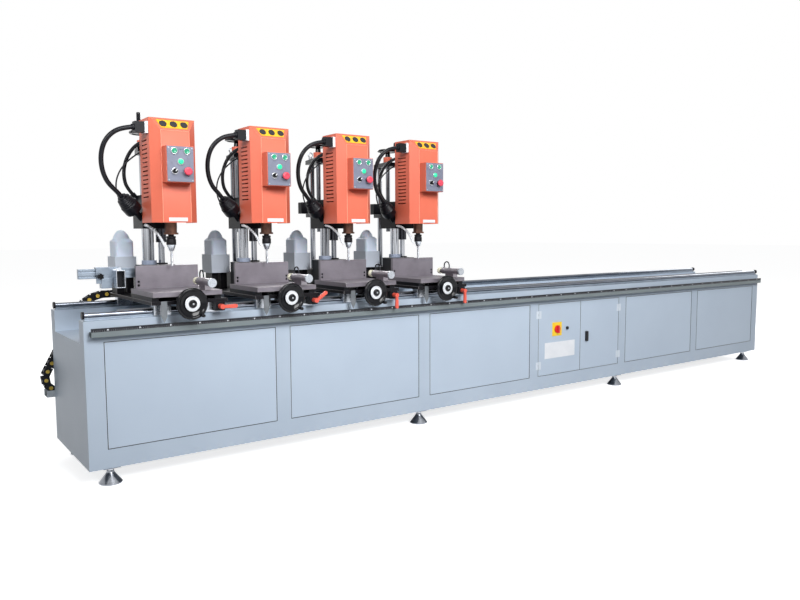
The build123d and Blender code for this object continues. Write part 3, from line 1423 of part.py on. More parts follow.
# Boot of the main hose, with its shank in the slide's left side
with BuildPart() as boot:
    boot_start = 0.0
    for boot_diameter, boot_length in MAIN_BOOT_STEPS:
        bar_from(hose_end(main_places).offset(boot_start), boot_length, boot_diameter)
        boot_start += boot_length

# Slide casting with its rear arm and the shanks of the hoses
with BuildPart() as slide:
    slab((-SLIDE_LEFT, SLIDE_RIGHT), (slide_front, slide_rear), (head_z, head_z + SLIDE_HEIGHT))
    with BuildSketch(Plane.XY.offset(arm_low)):
        with BuildLine():
            Polyline(
                (-ARM_LEFT, slide_rear),
                (ARM_RIGHT, slide_rear),
                (ARM_RIGHT, bed_front + ARM_REAR),
                (-ARM_REAR_LEFT, bed_front + ARM_REAR),
                (-ARM_LEFT, slide_rear + ARM_STRAIGHT),
                close=True,
            )
        make_face()
    extrude(amount=ARM_HEIGHT)
    bar_from(hose_end(main_places).offset(boot_start), MAIN_SHANK_LENGTH, MAIN_SHANK)
    bar_from(hose_end(second_places), SECOND_GLAND_LENGTH, SECOND_GLAND)
    bar_from(hose_end(air_places), AIR_FITTING_LENGTH, AIR_FITTING)
    through = (head_z, head_z + SLIDE_HEIGHT)
    bar_up(column_at, through, COLUMN_DIAMETER + 2 * FIT, Mode.SUBTRACT)
    bar_up(rod_at, through, ROD_DIAMETER + 2 * FIT, Mode.SUBTRACT)
    bar_up(post_at, through, POST_DIAMETER + 2 * FIT, Mode.SUBTRACT)
    bar_up(screw_at, through, SCREW_DIAMETER + 2 * FIT, Mode.SUBTRACT)

# Back plate with the upper gland and fitting, which end flush with the plate's front
back_front = slide_front - BACK_PLATE
back_side = cover_half - COVER_WALL
with BuildPart() as back_plate:
    back_z = (head_z + BACK_PLATE_BOTTOM, cover_top - COVER_WALL)
    slab((-back_side, back_side), (back_front, slide_front), back_z)
    bar_from(
        Plane(origin=second_places[0], z_dir=second_places[0] - second_places[1]),
        SECOND_GLAND_LENGTH,
        SECOND_GLAND,
    )
    bar_from(
        Plane(origin=air_places[0], z_dir=air_places[0] - air_places[1]),
        AIR_FITTING_LENGTH,
        AIR_FITTING,
    )
    slab((-back_side, back_side), (drill_y, back_front), back_z, Mode.SUBTRACT)

# Spindle housing with its quill, and the motor on top
spindle_at = (0.0, drill_y)
arm_heights = (head_z + HOUSING_ARM_BOTTOM, head_z + HOUSING_ARM_BOTTOM + HOUSING_ARM_HEIGHT)
with BuildPart() as spindle_housing:
    bar_up(spindle_at, (quill_low, quill_low + QUILL_FLANGE_HEIGHT), QUILL_FLANGE)
    bar_up(spindle_at, (quill_low, head_z + HOUSING_BOTTOM), QUILL_DIAMETER)
    bar_up(spindle_at, (head_z + HOUSING_BOTTOM, housing_top), HOUSING_DIAMETER)
    slab(about(0, HOUSING_ARM), (drill_y, back_front), arm_heights)
    bar_up(spindle_at, (quill_low, housing_top), SPINDLE_DIAMETER + 2 * FIT, Mode.SUBTRACT)
junction_x = (-SLIDE_LEFT - JUNCTION_SIZE[0], -SLIDE_LEFT)
junction_z = (head_z + JUNCTION_BOTTOM, head_z + JUNCTION_BOTTOM + JUNCTION_SIZE[2])
junction_box = plate(junction_x, (slide_rear - JUNCTION_SIZE[1], slide_rear), junction_z)
sleeve_z = (head_z - SLEEVE_LENGTH, head_z)
drill_head = [
    slide.part,
    back_plate.part,
    spindle_housing.part,
    post_up(spindle_at, (housing_top, housing_top + MOTOR_HEIGHT), MOTOR_DIAMETER),
    ring_up(rod_at, sleeve_z, SLEEVE_DIAMETER, ROD_DIAMETER + 2 * FIT),
    boot.part,
    hose("main hose", MAIN_HOSE_POINTS, MAIN_HOSE),
    hose("second hose", SECOND_HOSE_POINTS, SECOND_HOSE),
    hose("air tube", AIR_TUBE_POINTS, AIR_TUBE),
    coolant_hose.part,
    nozzle.part,
]

# Sheet cover, open at the back and below, with louvres on both sides
with BuildPart() as cover:
    with BuildSketch(Plane.XY.offset(cover_low)):
        with BuildLine():
            Polyline(
                (-cover_half, slide_front),
                (-cover_half, cover_front + COVER_CHAMFER),
                (-cover_half + COVER_CHAMFER, cover_front),
                (cover_half - COVER_CHAMFER, cover_front),
                (cover_half, cover_front + COVER_CHAMFER),
                (cover_half, slide_front),
                close=True,
            )
        make_face()
    extrude(amount=COVER_HEIGHT)
    with BuildSketch(Plane.YZ.offset(-cover_half)):
        with BuildLine():
            Polyline(
                (cover_front, cover_top - COVER_SLOPE_HEIGHT),
                (cover_front + COVER_SLOPE_DEPTH, cover_top),
                (cover_front, cover_top),
                close=True,
            )
        make_face()
    extrude(amount=COVER_WIDTH, mode=Mode.SUBTRACT)
    open_faces = [cover.faces().sort_by(Axis.Y)[-1], cover.faces().sort_by(Axis.Z)[0]]
    offset(amount=-COVER_WALL, openings=open_faces, kind=Kind.INTERSECTION)
    louvre_y = about(drill_y + LOUVRE_SETBACK, LOUVRE_LENGTH)
    for n in range(LOUVRE_COUNT):
        louvre_z = about(cover_low + LOUVRE_BOTTOM + n * LOUVRE_PITCH, LOUVRE_HEIGHT)
        slab((-cover_half, cover_half), louvre_y, louvre_z, Mode.SUBTRACT)

# Strip with three plugs on the cover's slope
slope = Plane(
    origin=(0, cover_front + COVER_SLOPE_DEPTH / 2, cover_top - COVER_SLOPE_HEIGHT / 2),
    x_dir=(1, 0, 0),
    z_dir=(0, -COVER_SLOPE_HEIGHT, COVER_SLOPE_DEPTH),
)
with BuildPart() as strip:
    with BuildSketch(slope):
        with BuildLine():
            Polyline(
                (-STRIP_BOTTOM / 2, -STRIP_HEIGHT / 2),
                (STRIP_BOTTOM / 2, -STRIP_HEIGHT / 2),
                (STRIP_TOP / 2, STRIP_HEIGHT / 2),
                (-STRIP_TOP / 2, STRIP_HEIGHT / 2),
                close=True,
            )
        make_face()
    extrude(amount=TRIM_SHEET)
with BuildPart() as strip_plugs:
    with BuildSketch(slope.offset(TRIM_SHEET)):
        with GridLocations(STRIP_PLUG_PITCH, 0, STRIP_PLUGS, 1):
            Circle(STRIP_PLUG / 2)
    extrude(amount=STRIP_PLUG_HEIGHT)

# Control box with its panel
box_x = about(BOX_X, BOX_WIDTH)
box_z = (box_low, box_low + BOX_HEIGHT)
panel_y = (panel_front, box_front)
with BuildPart() as control_box:
    slab(box_x, (box_front, cover_front), box_z)
    inner_z = (box_z[0] + BOX_WALL, box_z[1] - BOX_WALL)
    slab(about(BOX_X, BOX_WIDTH - 2 * BOX_WALL), (box_front, cover_front), inner_z, Mode.SUBTRACT)
with BuildPart() as panel:
    slab(about(BOX_X, PANEL_WIDTH), panel_y, about(panel_z, PANEL_HEIGHT))
    for place in start_at + [selector_at, stop_at]:
        bar_back(place, panel_y, BUTTON_STEM + 2 * RUN, Mode.SUBTRACT)
with BuildPart() as panel_lamp:
    bar_back(lamp_at, (panel_front - LAMP_DEPTH, panel_front), LAMP_DIAMETER)
    fillet(panel_lamp.faces().sort_by(Axis.Y)[0].edges(), LAMP_DEPTH / 2)
bezel_y = (panel_front - BEZEL_DEPTH, panel_front)
plug_y = drill_y + PLUG_Y
plug_z = head_z + PLUG_Z
hood_x = (-cover_half - PLUG_BASE[0] - PLUG_HOOD[0], -cover_half - PLUG_BASE[0])
with BuildPart() as plug_hood:
    slab(hood_x, about(plug_y, PLUG_HOOD[1]), about(plug_z, PLUG_HOOD[2]))
    bar_from(
        Plane(origin=main_places[0], z_dir=main_places[0] - main_places[1]),
        main_places[0].X * -1 - cover_half - PLUG_BASE[0] - PLUG_HOOD[0] / 2,
        PLUG_GLAND,
    )
cover_plate_z = cover_low + COVER_PLATE_RISE
cover_pieces = [
    cover.part,
    strip.part,
    strip_plugs.part,
    control_box.part,
    panel.part,
    panel_lamp.part,
    plug_hood.part,
    plate(
        (-cover_half - PLUG_BASE[0], -cover_half),
        about(plug_y, PLUG_BASE[1]),
        about(plug_z, PLUG_BASE[2]),
    ),
    plate(
        about(COVER_PLATE_X, COVER_PLATE_WIDTH),
        (cover_front - TRIM_SHEET, cover_front),
        (cover_plate_z, cover_plate_z + COVER_PLATE_HEIGHT),
    ),
    ring_back(selector_at, bezel_y, BEZEL_DIAMETER, BUTTON_STEM + 2 * RUN),
    ring_back(stop_at, bezel_y, STOP_COLLAR, BUTTON_STEM + 2 * RUN),
]
cover_pieces += [ring_back(place, bezel_y, BEZEL_DIAMETER, BUTTON_DIAMETER + 2 * RUN) for place in start_at]
for side_x in (-1, 1):
    for side_z in (-1, 1):
        corner_x = BOX_X + side_x * (PANEL_WIDTH / 2 - PANEL_SCREW_INSET)
        corner_z = panel_z + side_z * (PANEL_HEIGHT / 2 - PANEL_SCREW_INSET)
        screw_y = (panel_front - PANEL_SCREW_HEAD, panel_front)
        cover_pieces.append(post_back((corner_x, corner_z), screw_y, PANEL_SCREW))
head_cover = grouped(cover_pieces)

# Spindle with its chuck, and the drill held in it
drill_top = chuck_low + CHUCK_BORE_DEPTH
drill_low = chuck_low - DRILL_REACH
with BuildPart() as chuck:
    with BuildSketch(Plane.XZ.offset(-drill_y)):
        with BuildLine():
            Polyline(
                (0, chuck_low),
                (CHUCK_NOSE / 2, chuck_low),
                (CHUCK_DIAMETER / 2, chuck_low + CHUCK_TAPER),
                (CHUCK_DIAMETER / 2, chuck_top),
                (SPINDLE_DIAMETER / 2, chuck_top),
                (SPINDLE_DIAMETER / 2, head_z + SPINDLE_TOP),
                (0, head_z + SPINDLE_TOP),
                close=True,
            )
        make_face()
    revolve(axis=Axis((0, drill_y, 0), (0, 0, 1)))
    bar_up(spindle_at, (chuck_low, drill_top), DRILL_DIAMETER + 2 * FIT, Mode.SUBTRACT)
with BuildPart() as drill:
    bar_up(spindle_at, (drill_low + DRILL_POINT, drill_top), DRILL_DIAMETER)
    with Locations((*spindle_at, drill_low + DRILL_POINT / 2)):
        Cone(0, DRILL_DIAMETER / 2, DRILL_POINT)
spindle = grouped([chuck.part, drill.part])

# Push buttons, emergency stop and selector, with their stems through the panel
stem_end = panel_front + CONTROL_STEM_DEPTH
cap_front = bezel_y[0] - BUTTON_PROUD


def start_button(place):
    with BuildPart() as button:
        bar_back(place, (cap_front, cap_front + BUTTON_DEPTH), BUTTON_DIAMETER)
        bar_back(place, (cap_front + BUTTON_DEPTH, stem_end), BUTTON_STEM)
    return button.part


stop_rear = bezel_y[0] - STOP_LIFT
with BuildPart() as e_stop:
    bar_back(stop_at, (stop_rear - STOP_DEPTH, stop_rear), STOP_DIAMETER)
    fillet(e_stop.faces().sort_by(Axis.Y)[0].edges(), STOP_DEPTH / 2)
    bar_back(stop_at, (stop_rear, stem_end), BUTTON_STEM)
selector_rear = bezel_y[0] - RUN
selector_front = selector_rear - SELECTOR_DEPTH
with BuildPart() as selector:
    bar_back(selector_at, (selector_front, selector_rear), SELECTOR_DIAMETER)
    bar_y = (selector_front - SELECTOR_BAR_DEPTH, selector_front)
    slab(about(selector_at[0], SELECTOR_BAR), bar_y, about(selector_at[1], SELECTOR_DIAMETER))
    bar_back(selector_at, (selector_rear, stem_end), BUTTON_STEM)

# The heads, one set of nodes each
for n, head_x in enumerate(head_xs):
    head = n + 1
    head_extras = [junction_box] if JUNCTION_HEADS[n] else []
    write(grouped(drill_head + head_extras), f"drill_head_{head}", head_x)
    write(head_cover, f"head_cover_{head}", head_x)
    write(spindle, f"spindle_{head}", head_x)
    write(handwheel_node, f"handwheel_{head}", head_x)
    lift_wheel_node = lift_wheel(LIFT_GRIP_ANGLES[n], LIFT_GRIP_HEIGHTS[n])
    write(lift_wheel_node, f"lift_wheel_{head}", head_x)
    write(ram, f"clamp_ram_{head}", head_x)
    write(lock_lever.part.rotate(lever_axis, LEVER_REST[n]), f"lock_lever_{head}", head_x)
    write(e_stop.part, f"e_stop_{head}", head_x)
    write(selector.part, f"selector_{head}", head_x)
    write(start_button(start_at[0]), f"start_button_left_{head}", head_x)
    write(start_button(start_at[1]), f"start_button_right_{head}", head_x)
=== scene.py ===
import functools
import json
import math

import bmesh
import bpy
from mathutils import Matrix, Vector


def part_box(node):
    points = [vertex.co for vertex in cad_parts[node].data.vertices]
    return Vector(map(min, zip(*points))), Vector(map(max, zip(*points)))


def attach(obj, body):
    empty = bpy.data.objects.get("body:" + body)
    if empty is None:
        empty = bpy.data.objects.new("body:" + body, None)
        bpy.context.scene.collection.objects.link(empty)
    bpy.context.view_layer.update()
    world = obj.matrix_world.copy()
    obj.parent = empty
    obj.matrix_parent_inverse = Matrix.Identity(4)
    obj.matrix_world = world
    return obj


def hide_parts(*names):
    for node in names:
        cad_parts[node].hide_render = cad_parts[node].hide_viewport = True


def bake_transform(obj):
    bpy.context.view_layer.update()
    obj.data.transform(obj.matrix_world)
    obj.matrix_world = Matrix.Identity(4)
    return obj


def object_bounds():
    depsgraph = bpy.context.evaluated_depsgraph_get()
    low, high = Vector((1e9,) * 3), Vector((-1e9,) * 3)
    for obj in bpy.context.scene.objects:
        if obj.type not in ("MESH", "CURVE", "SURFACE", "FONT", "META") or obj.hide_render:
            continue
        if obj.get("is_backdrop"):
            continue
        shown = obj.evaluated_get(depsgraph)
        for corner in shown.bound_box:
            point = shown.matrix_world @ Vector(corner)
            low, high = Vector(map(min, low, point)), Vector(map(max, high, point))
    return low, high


# Four-head drilling machine on a long bed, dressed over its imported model
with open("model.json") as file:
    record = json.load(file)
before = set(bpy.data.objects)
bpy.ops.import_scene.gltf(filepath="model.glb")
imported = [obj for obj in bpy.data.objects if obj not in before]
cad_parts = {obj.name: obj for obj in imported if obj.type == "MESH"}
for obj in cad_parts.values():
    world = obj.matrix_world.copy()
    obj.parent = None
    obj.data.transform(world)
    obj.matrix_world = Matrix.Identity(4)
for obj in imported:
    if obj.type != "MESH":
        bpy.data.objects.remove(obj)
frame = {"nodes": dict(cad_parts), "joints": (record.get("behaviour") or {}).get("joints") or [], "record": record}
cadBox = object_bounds()
scene = bpy.context.scene
record = frame["record"]
heads = (1, 2, 3, 4)
bodyOf = {node: body for body, nodes in record["behaviour"]["bodies"].items() for node in nodes}
anchorOf = {joint["name"]: joint.get("pos_m") for joint in frame["joints"]}
print("frame:", len(frame["nodes"]), "nodes")


# puts a mesh, curve, lamp or camera into the scene
def addObject(name, data):
    thing = bpy.data.objects.new(name, data)
    scene.collection.objects.link(thing)
    return thing


# Camera a little left of the bed's end; turns in degrees, lens and sensor in mm
photoView = {"place": (-3.7655, -3.9515, 1.2184), "right": 35.944, "down": 5.257, "roll": -0.242,
    "lens": 33.005, "sensor": 36.0, "reach": 200.0}
camera = addObject("photoCamera", bpy.data.cameras.new("photoCamera"))
camera.data.sensor_width = photoView["sensor"]
camera.data.lens = photoView["lens"]
camera.data.clip_end = photoView["reach"]
camera.matrix_world = (
    Matrix.Translation(photoView["place"])
    @ Matrix.Rotation(math.radians(-photoView["right"]), 4, "Z")
    @ Matrix.Rotation(math.radians(90 - photoView["down"]), 4, "X")
    @ Matrix.Rotation(math.radians(photoView["roll"]), 4, "Z")
)
scene.camera = camera
scene.view_settings.view_transform = "Standard"
print("camera set")


# sRGB hex to the linear colour that a shader takes
def linear(shade):
    parts = [int(shade[n:n + 2], 16) / 255 for n in (1, 3, 5)]
    return tuple(c / 12.92 if c <= 0.04045 else ((c + 0.055) / 1.055) ** 2.4 for c in parts) + (1.0,)


# adds a node: inputs are values, sockets or nodes to link by their first output; settings are its own options
def addNode(tree, kind, inputs={}, **settings):
    node = tree.nodes.new(kind)
    for name, value in settings.items():
        setattr(node, name, value)
    for key, value in inputs.items():
        if isinstance(value, bpy.types.Node):
            value = value.outputs[0]
        if isinstance(value, bpy.types.NodeSocket):
            tree.links.new(value, node.inputs[key])
        else:
            node.inputs[key].default_value = value
    return node


# Finishes. Sizes are in mm: "blotch" is the width of the cloudy patches, "share" how far they take the tint,
# "smooth" and "rough" are the least and most roughness, "grain" is the width of the fine relief and "depth"
# its height; "stretch" and "drift" draw the relief and the patches out along the axes that have small
# numbers; "shine" below 0.5 is a duller skin than bare plastic
columns = ("colour", "tint", "blotch", "share", "smooth", "rough", "grain", "depth")
plainLook = dict(stretch=(1, 1, 1), drift=(1, 1, 1), metallic=0.0, shine=0.5, coat=0.0, scatter=0.0, glow=None)
finishes = {
    # sheet steel in satin enamel: even and cool, with a soft sheen; the orange peel is drawn coarse to show
    "bedEnamel": ("#B4C1D0", "#A8B6C6", 420, 0.55, 0.34, 0.46, 7, 0.05, dict(shine=0.2)),
    "panelEnamel": ("#B6C4D4", "#ACBACB", 500, 0.5, 0.32, 0.44, 7, 0.05, dict(shine=0.3)),
    # the same enamel made pale as a painted highlight along the sheets' cut edges; the hinges take it too
    "paleHighlightEnamel": ("#CFD7E0", "#C0CAD5", 120, 0.5, 0.3, 0.42, 7, 0.02),
    # folded steel ledge in a greener grey, duller than the bed
    "ledgeEnamel": ("#717B7E", "#667073", 260, 0.6, 0.4, 0.52, 7, 0.05),
    # powder coat: warm orange, slightly pebbled, soft gloss
    "orangeCoat": ("#D56B53", "#D0634B", 160, 0.5, 0.36, 0.48, 4, 0.05, dict(shine=0.35)),
    # the coat made pale as a painted highlight along the cover's folds
    "foldHighlightCoat": ("#EFA58C", "#E6977C", 60, 0.5, 0.36, 0.48, 4, 0.02),
    "leverCoat": ("#E25A48", "#D04C3B", 40, 0.5, 0.34, 0.46, 3, 0.03, dict(coat=0.2)),
    # hard-chromed ground shaft: mirror with faint grinding rings, and long light and dark runs down its length
    # painted on as reflections
    "reflectionRunChrome": ("#C9CCD2", "#4E5056", 24, 1.0, 0.08, 0.15, 5, 0.004,
        dict(metallic=1.0, stretch=(6, 1, 1), drift=(1, 1, 0.03))),
    # long guide shafts, painted darker to stand in for the dark surroundings they reflect
    "reflectionDarkShaft": ("#767B84", "#5A5E66", 160, 0.7, 0.1, 0.2, 5, 0.004, dict(metallic=1.0, stretch=(0.1, 1, 1))),
    "bezelChrome": ("#E8EAEE", "#D6D9DE", 20, 0.4, 0.12, 0.22, 2, 0.004, dict(metallic=1.0)),
    # dark polished steel of the guide sleeves
    "darkChrome": ("#3E3F44", "#2C2D32", 60, 0.5, 0.12, 0.2, 5, 0.004, dict(metallic=1.0)),
    "bellChrome": ("#9DA1A8", "#6F737A", 40, 0.7, 0.16, 0.28, 5, 0.01, dict(metallic=1.0)),
    # milled and ground steel that has gone brown-grey: long dull streaks
    "groundSteel": ("#7C777F", "#67626A", 110, 0.75, 0.4, 0.56, 5, 0.02, dict(metallic=0.4, stretch=(0.12, 1, 1))),
    "milledSteel": ("#8D9096", "#6F7278", 60, 0.6, 0.3, 0.44, 4, 0.015, dict(metallic=1.0, stretch=(1, 0.2, 1))),
    "pointerSteel": ("#6E7276", "#5C6064", 30, 0.6, 0.34, 0.46, 4, 0.01, dict(metallic=0.8)),
    # etched steel rule, blackened so that the white lines stand out
    "etchedRule": ("#1E1F24", "#2A2B31", 80, 0.5, 0.36, 0.5, 4, 0.01,
        dict(metallic=0.3, shine=0.3, stretch=(0.1, 1, 1))),
    "zincSteel": ("#BDC0C5", "#A2A5AB", 12, 0.6, 0.24, 0.36, 3, 0.01, dict(metallic=1.0)),
    # steel in black oxide: nearly black with a brown bloom, and bare where its edges are rubbed
    "blackOxide": ("#131318", "#211F20", 120, 0.6, 0.36, 0.52, 5, 0.015, dict(metallic=0.3, shine=0.14)),
    "rubbedSteel": ("#8B888A", "#5E5B5D", 14, 0.9, 0.3, 0.46, 3, 0.01, dict(metallic=0.9)),
    # castings in black gloss paint with the sand's texture showing through
    "castBlack": ("#0E0F14", "#16181E", 80, 0.6, 0.3, 0.46, 6, 0.12, dict(shine=0.14)),
    "quillSteel": ("#6B4A3C", "#3B2D29", 40, 0.7, 0.28, 0.42, 3, 0.01, dict(metallic=0.8, stretch=(1, 1, 6))),
    # bead-blasted and extruded aluminium
    "blockAluminium": ("#BFC4CB", "#A2A7AF", 30, 0.5, 0.2, 0.32, 3, 0.01, dict(metallic=1.0)),
    # extruded aluminium, also the length stop's shoe, where it is a darker finish as painted shade
    "extrudedAluminiumAndShade": ("#8E99A6", "#77818E", 60, 0.6, 0.26, 0.38, 3, 0.01,
        dict(metallic=0.9, stretch=(0.05, 1, 1))),
    "clampAluminium": ("#99949A", "#817C82", 30, 0.6, 0.28, 0.4, 3, 0.01, dict(metallic=0.9, stretch=(1, 0.1, 1))),
    "riserEnamel": ("#8E98AC", "#7C869A", 60, 0.5, 0.36, 0.5, 5, 0.05),
    # blow-moulded polyethylene: milky, waxy and a little uneven
    "milkyPoly": ("#DCE6F6", "#CEDAEC", 70, 0.6, 0.36, 0.48, 9, 0.12, dict(scatter=0.15)),
    "holderSheet": ("#C0C8D4", "#B2BAC6", 90, 0.5, 0.38, 0.5, 6, 0.04),
    # smooth black conduit and nitrile boots: soft broad highlights; the same black is the painted shade in the gaps
    # round the panels and doors
    "hoseRubberAndGapShade": ("#0B0C12", "#12141B", 30, 0.6, 0.28, 0.42, 3, 0.05, dict(shine=0.2)),
    # glass-filled nylon of the cable chain, and its pin caps
    "chainNylon": ("#0F1015", "#17191F", 20, 0.6, 0.42, 0.56, 2, 0.03, dict(shine=0.2)),
    "chainCap": ("#E2C052", "#CFAD44", 8, 0.5, 0.4, 0.5, 2, 0.02),
    # phenolic hand wheels and knobs: deep black with a polished skin
    "phenolic": ("#06070C", "#0C0E15", 50, 0.6, 0.07, 0.14, 4, 0.02, dict(shine=0.22)),
    # black nylon, also the plug that is painted shade inside the length stop's tube
    "blackNylonAndShade": ("#0E0F14", "#15171D", 30, 0.5, 0.34, 0.48, 2, 0.03, dict(shine=0.2)),
    "dialSatin": ("#E4E7EB", "#D3D7DC", 25, 0.5, 0.28, 0.4, 2, 0.01, dict(metallic=0.35)),
    # matt inks of the dials, the rule and the selectors
    "inkBlack": ("#15161A", "#1D1F24", 10, 0.5, 0.45, 0.6, 2, 0.01),
    "rulerInk": ("#A4A7AC", "#95989D", 10, 0.5, 0.45, 0.6, 2, 0.01),
    "whiteInk": ("#E6E8EA", "#D6D8DA", 10, 0.5, 0.45, 0.6, 2, 0.01),
    # die-cast control panel in hammered grey, with its buttons and lit pilot lens
    "panelGrey": ("#767A8C", "#6C7082", 30, 0.5, 0.36, 0.48, 4, 0.06),
    "buttonGreen": ("#179F77", "#0F8562", 9, 0.5, 0.22, 0.32, 3, 0.01, dict(coat=0.3)),
    "litGreen": ("#10D898", "#22E2A6", 8, 0.6, 0.18, 0.28, 3, 0.02, dict(coat=0.3, glow=("#12E29A", 0.15))),
    "mushroomRed": ("#DB4058", "#C4334B", 14, 0.5, 0.24, 0.36, 3, 0.01, dict(coat=0.25)),
    "paleRed": ("#F0909C", "#E2808C", 14, 0.5, 0.3, 0.42, 3, 0.01),
    "switchRed": ("#D8232B", "#BE1B24", 18, 0.5, 0.24, 0.36, 3, 0.01, dict(coat=0.25)),
    # painted and printed plates
    "plateYellow": ("#F4CE1E", "#E8C016", 30, 0.5, 0.3, 0.42, 3, 0.02, dict(coat=0.15)),
    "stripYellow": ("#F3B326", "#E8A61C", 30, 0.5, 0.34, 0.46, 3, 0.02),
    "plateWhite": ("#E1E4E9", "#D5D9DF", 60, 0.5, 0.34, 0.46, 4, 0.02),
    # moulded urethane of the clamp pads, yellowed
    "padUrethane": ("#DEDCC8", "#D2CFB6", 12, 0.6, 0.4, 0.52, 3, 0.03),
    "coolantPlastic": ("#F0F3F6", "#DCE0E6", 12, 0.6, 0.26, 0.38, 2, 0.02),
    # chain tray and gear plate in spangled zinc, control gear and motors
    "galvanised": ("#A9B0B6", "#8E959C", 22, 0.8, 0.34, 0.5, 8, 0.01, dict(metallic=0.9)),
    "gearPlastic": ("#55595F", "#484C52", 25, 0.5, 0.4, 0.52, 3, 0.03),
    "motorGrey": ("#5E656F", "#4F565F", 60, 0.5, 0.36, 0.5, 5, 0.06),
}
cloudSpan, reliefSpan = (0.35, 0.68), (0.3, 0.7)  # parts of the noise that the patches and the relief use
coatRough, scatterDeep = 0.2, 0.01
materials = {}
for name, row in finishes.items():
    look = {**plainLook, **dict(zip(columns, row))}
    look.update(*row[len(columns):])
    material = bpy.data.materials.new(name)
    material.use_nodes = True
    tree = material.node_tree
    tree.nodes.clear()
    place = addNode(tree, "ShaderNodeTexCoord").outputs["Object"]
    drawn = addNode(tree, "ShaderNodeMapping", {"Vector": place, "Scale": look["stretch"]})
    drifted = addNode(tree, "ShaderNodeMapping", {"Vector": place, "Scale": look["drift"]})
    cloud = addNode(tree, "ShaderNodeTexNoise",
        {"Vector": drifted, "Scale": 1000 / look["blotch"], "Detail": 3.0})
    relief = addNode(tree, "ShaderNodeTexNoise", {"Vector": drawn, "Scale": 1000 / look["grain"], "Detail": 2.0})
    amount = addNode(tree, "ShaderNodeMapRange",
        {"Value": cloud, "From Min": cloudSpan[0], "From Max": cloudSpan[1], "To Max": look["share"]})
    colour = addNode(tree, "ShaderNodeMix", {0: amount, 6: linear(look["colour"]), 7: linear(look["tint"])},
        data_type="RGBA")
    dull = addNode(tree, "ShaderNodeMapRange",
        {"Value": relief, "From Min": reliefSpan[0], "From Max": reliefSpan[1],
            "To Min": look["smooth"], "To Max": look["rough"]})
    bump = addNode(tree, "ShaderNodeBump", {"Height": relief, "Distance": look["depth"] / 1000})
    shader = addNode(tree, "ShaderNodeBsdfPrincipled",
        {"Base Color": colour.outputs[2], "Roughness": dull, "Normal": bump,
            "Metallic": look["metallic"], "Specular IOR Level": look["shine"],
            "Coat Weight": look["coat"], "Coat Roughness": coatRough,
            "Subsurface Weight": look["scatter"], "Subsurface Scale": scatterDeep})
    if look["glow"]:
        shader.inputs["Emission Color"].default_value = linear(look["glow"][0])
        shader.inputs["Emission Strength"].default_value = look["glow"][1]
    addNode(tree, "ShaderNodeOutputMaterial", {"Surface": shader})
    materials[name] = material
print("finishes:", len(materials))


# A node's mesh is one triangle soup: a solid ends where every edge has met its partner
@functools.cache
def solidsOf(node):
    mesh = frame["nodes"][node].data
    spots = [tuple(round(c, 6) for c in vertex.co) for vertex in mesh.vertices]
    found, triangles, waiting = [], [], set()
    for polygon in mesh.polygons:
        corners = [spots[v] for v in polygon.vertices]
        triangles.append(corners)
        for a, b in zip(corners, corners[1:] + corners[:1]):
            if (b, a) in waiting:
                waiting.discard((b, a))
            elif a != b:
                waiting.add((a, b))
        if not waiting:
            found.append(triangles)
            triangles = []
    if triangles:
        found.append(triangles)
    return found


def boxOf(solid):
    corners = [corner for triangle in solid for corner in triangle]
    low = Vector([min(c[n] for c in corners) for n in range(3)])
    high = Vector([max(c[n] for c in corners) for n in range(3)])
    return low, high


# the middle of a box, with the axes that are named set to a value
def middleOf(box, **fixed):
    middle = (box[0] + box[1]) / 2
    for axis, value in fixed.items():
        setattr(middle, axis, value)
    return middle


def toMesh(name, shape):
    mesh = bpy.data.meshes.new(name)
    shape.to_mesh(mesh)
    shape.free()
    return mesh


# degrees: edges sharper than "round" are bevelled, faces flatter than "flat" are merged, and shading breaks
# at "shade", or at the others for turned pieces and drills
angles = {"round": 40, "flat": 0.5, "shade": 35, "turned": 32, "drill": 40}


# gives a mesh its object, shading, rounded edges, body and slot; "bevel" is in mm
def settle(name, mesh, finishNames, body, node=None, bevel=0.0, angle=angles["shade"], edgeWearAndHighlight=None):
    piece = addObject(name, mesh)
    if not mesh.materials:
        for finishName in finishNames:
            mesh.materials.append(materials[finishName])
    mesh.polygons.foreach_set("use_smooth", [True] * len(mesh.polygons))
    if bevel:
        rounding = piece.modifiers.new("rounding", "BEVEL")
        rounding.width = bevel / 1000
        rounding.segments = 2
        rounding.limit_method = "ANGLE"
        rounding.angle_limit = math.radians(angles["round"])
        rounding.harden_normals = True
        if edgeWearAndHighlight:
            mesh.materials.append(materials[edgeWearAndHighlight])
            rounding.material = 1
    else:
        mesh.set_sharp_from_angle(angle=math.radians(angle))
    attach(piece, body)
    if node:
        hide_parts(node)
    return piece


# a copy of some of a node's solids, merged, as a piece of one finish
def dress(name, node, picked, finishName, bevel=0.0, edgeWearAndHighlight=None):
    shape = bmesh.new()
    for solid in picked:
        spots = {}
        for triangle in solid:
            for corner in triangle:
                if corner not in spots:
                    spots[corner] = shape.verts.new(corner)
            trio = [spots[corner] for corner in triangle]
            if len(set(trio)) == 3 and not shape.faces.get(trio):
                shape.faces.new(trio)
    bmesh.ops.dissolve_limit(shape, angle_limit=math.radians(angles["flat"]), verts=shape.verts[:],
        edges=shape.edges[:])
    return settle(name, toMesh(name, shape), [finishName], bodyOf[node], node, bevel, edgeWearAndHighlight=edgeWearAndHighlight)


# edges painted pale as a highlight on the enamel sheets, and edges where the black has rubbed through to the steel
edgeWearAndHighlights = {
    **dict.fromkeys(("frontPanels", "leftDoorSheet", "rightDoorSheet"), "paleHighlightEnamel"),
    **dict.fromkeys(("basePlate", "fence", "table", "columnBase", "crown", "holderLegs", "slide", "lockBlock"),
        "rubbedSteel"),
}


# dresses a node from its table of parts, and passes over those that this node doesn't have
def dressParts(node, parts, suffix=""):
    solids = solidsOf(node)
    for label, first, last, finishName, bevel in parts:
        if first < len(solids):
            dress(f"{label}{suffix}", node, solids[first:last], finishName, bevel, edgeWearAndHighlights.get(label))


facings = {"up": Matrix.Identity(4), "front": Matrix.Rotation(math.radians(90), 4, "X")}


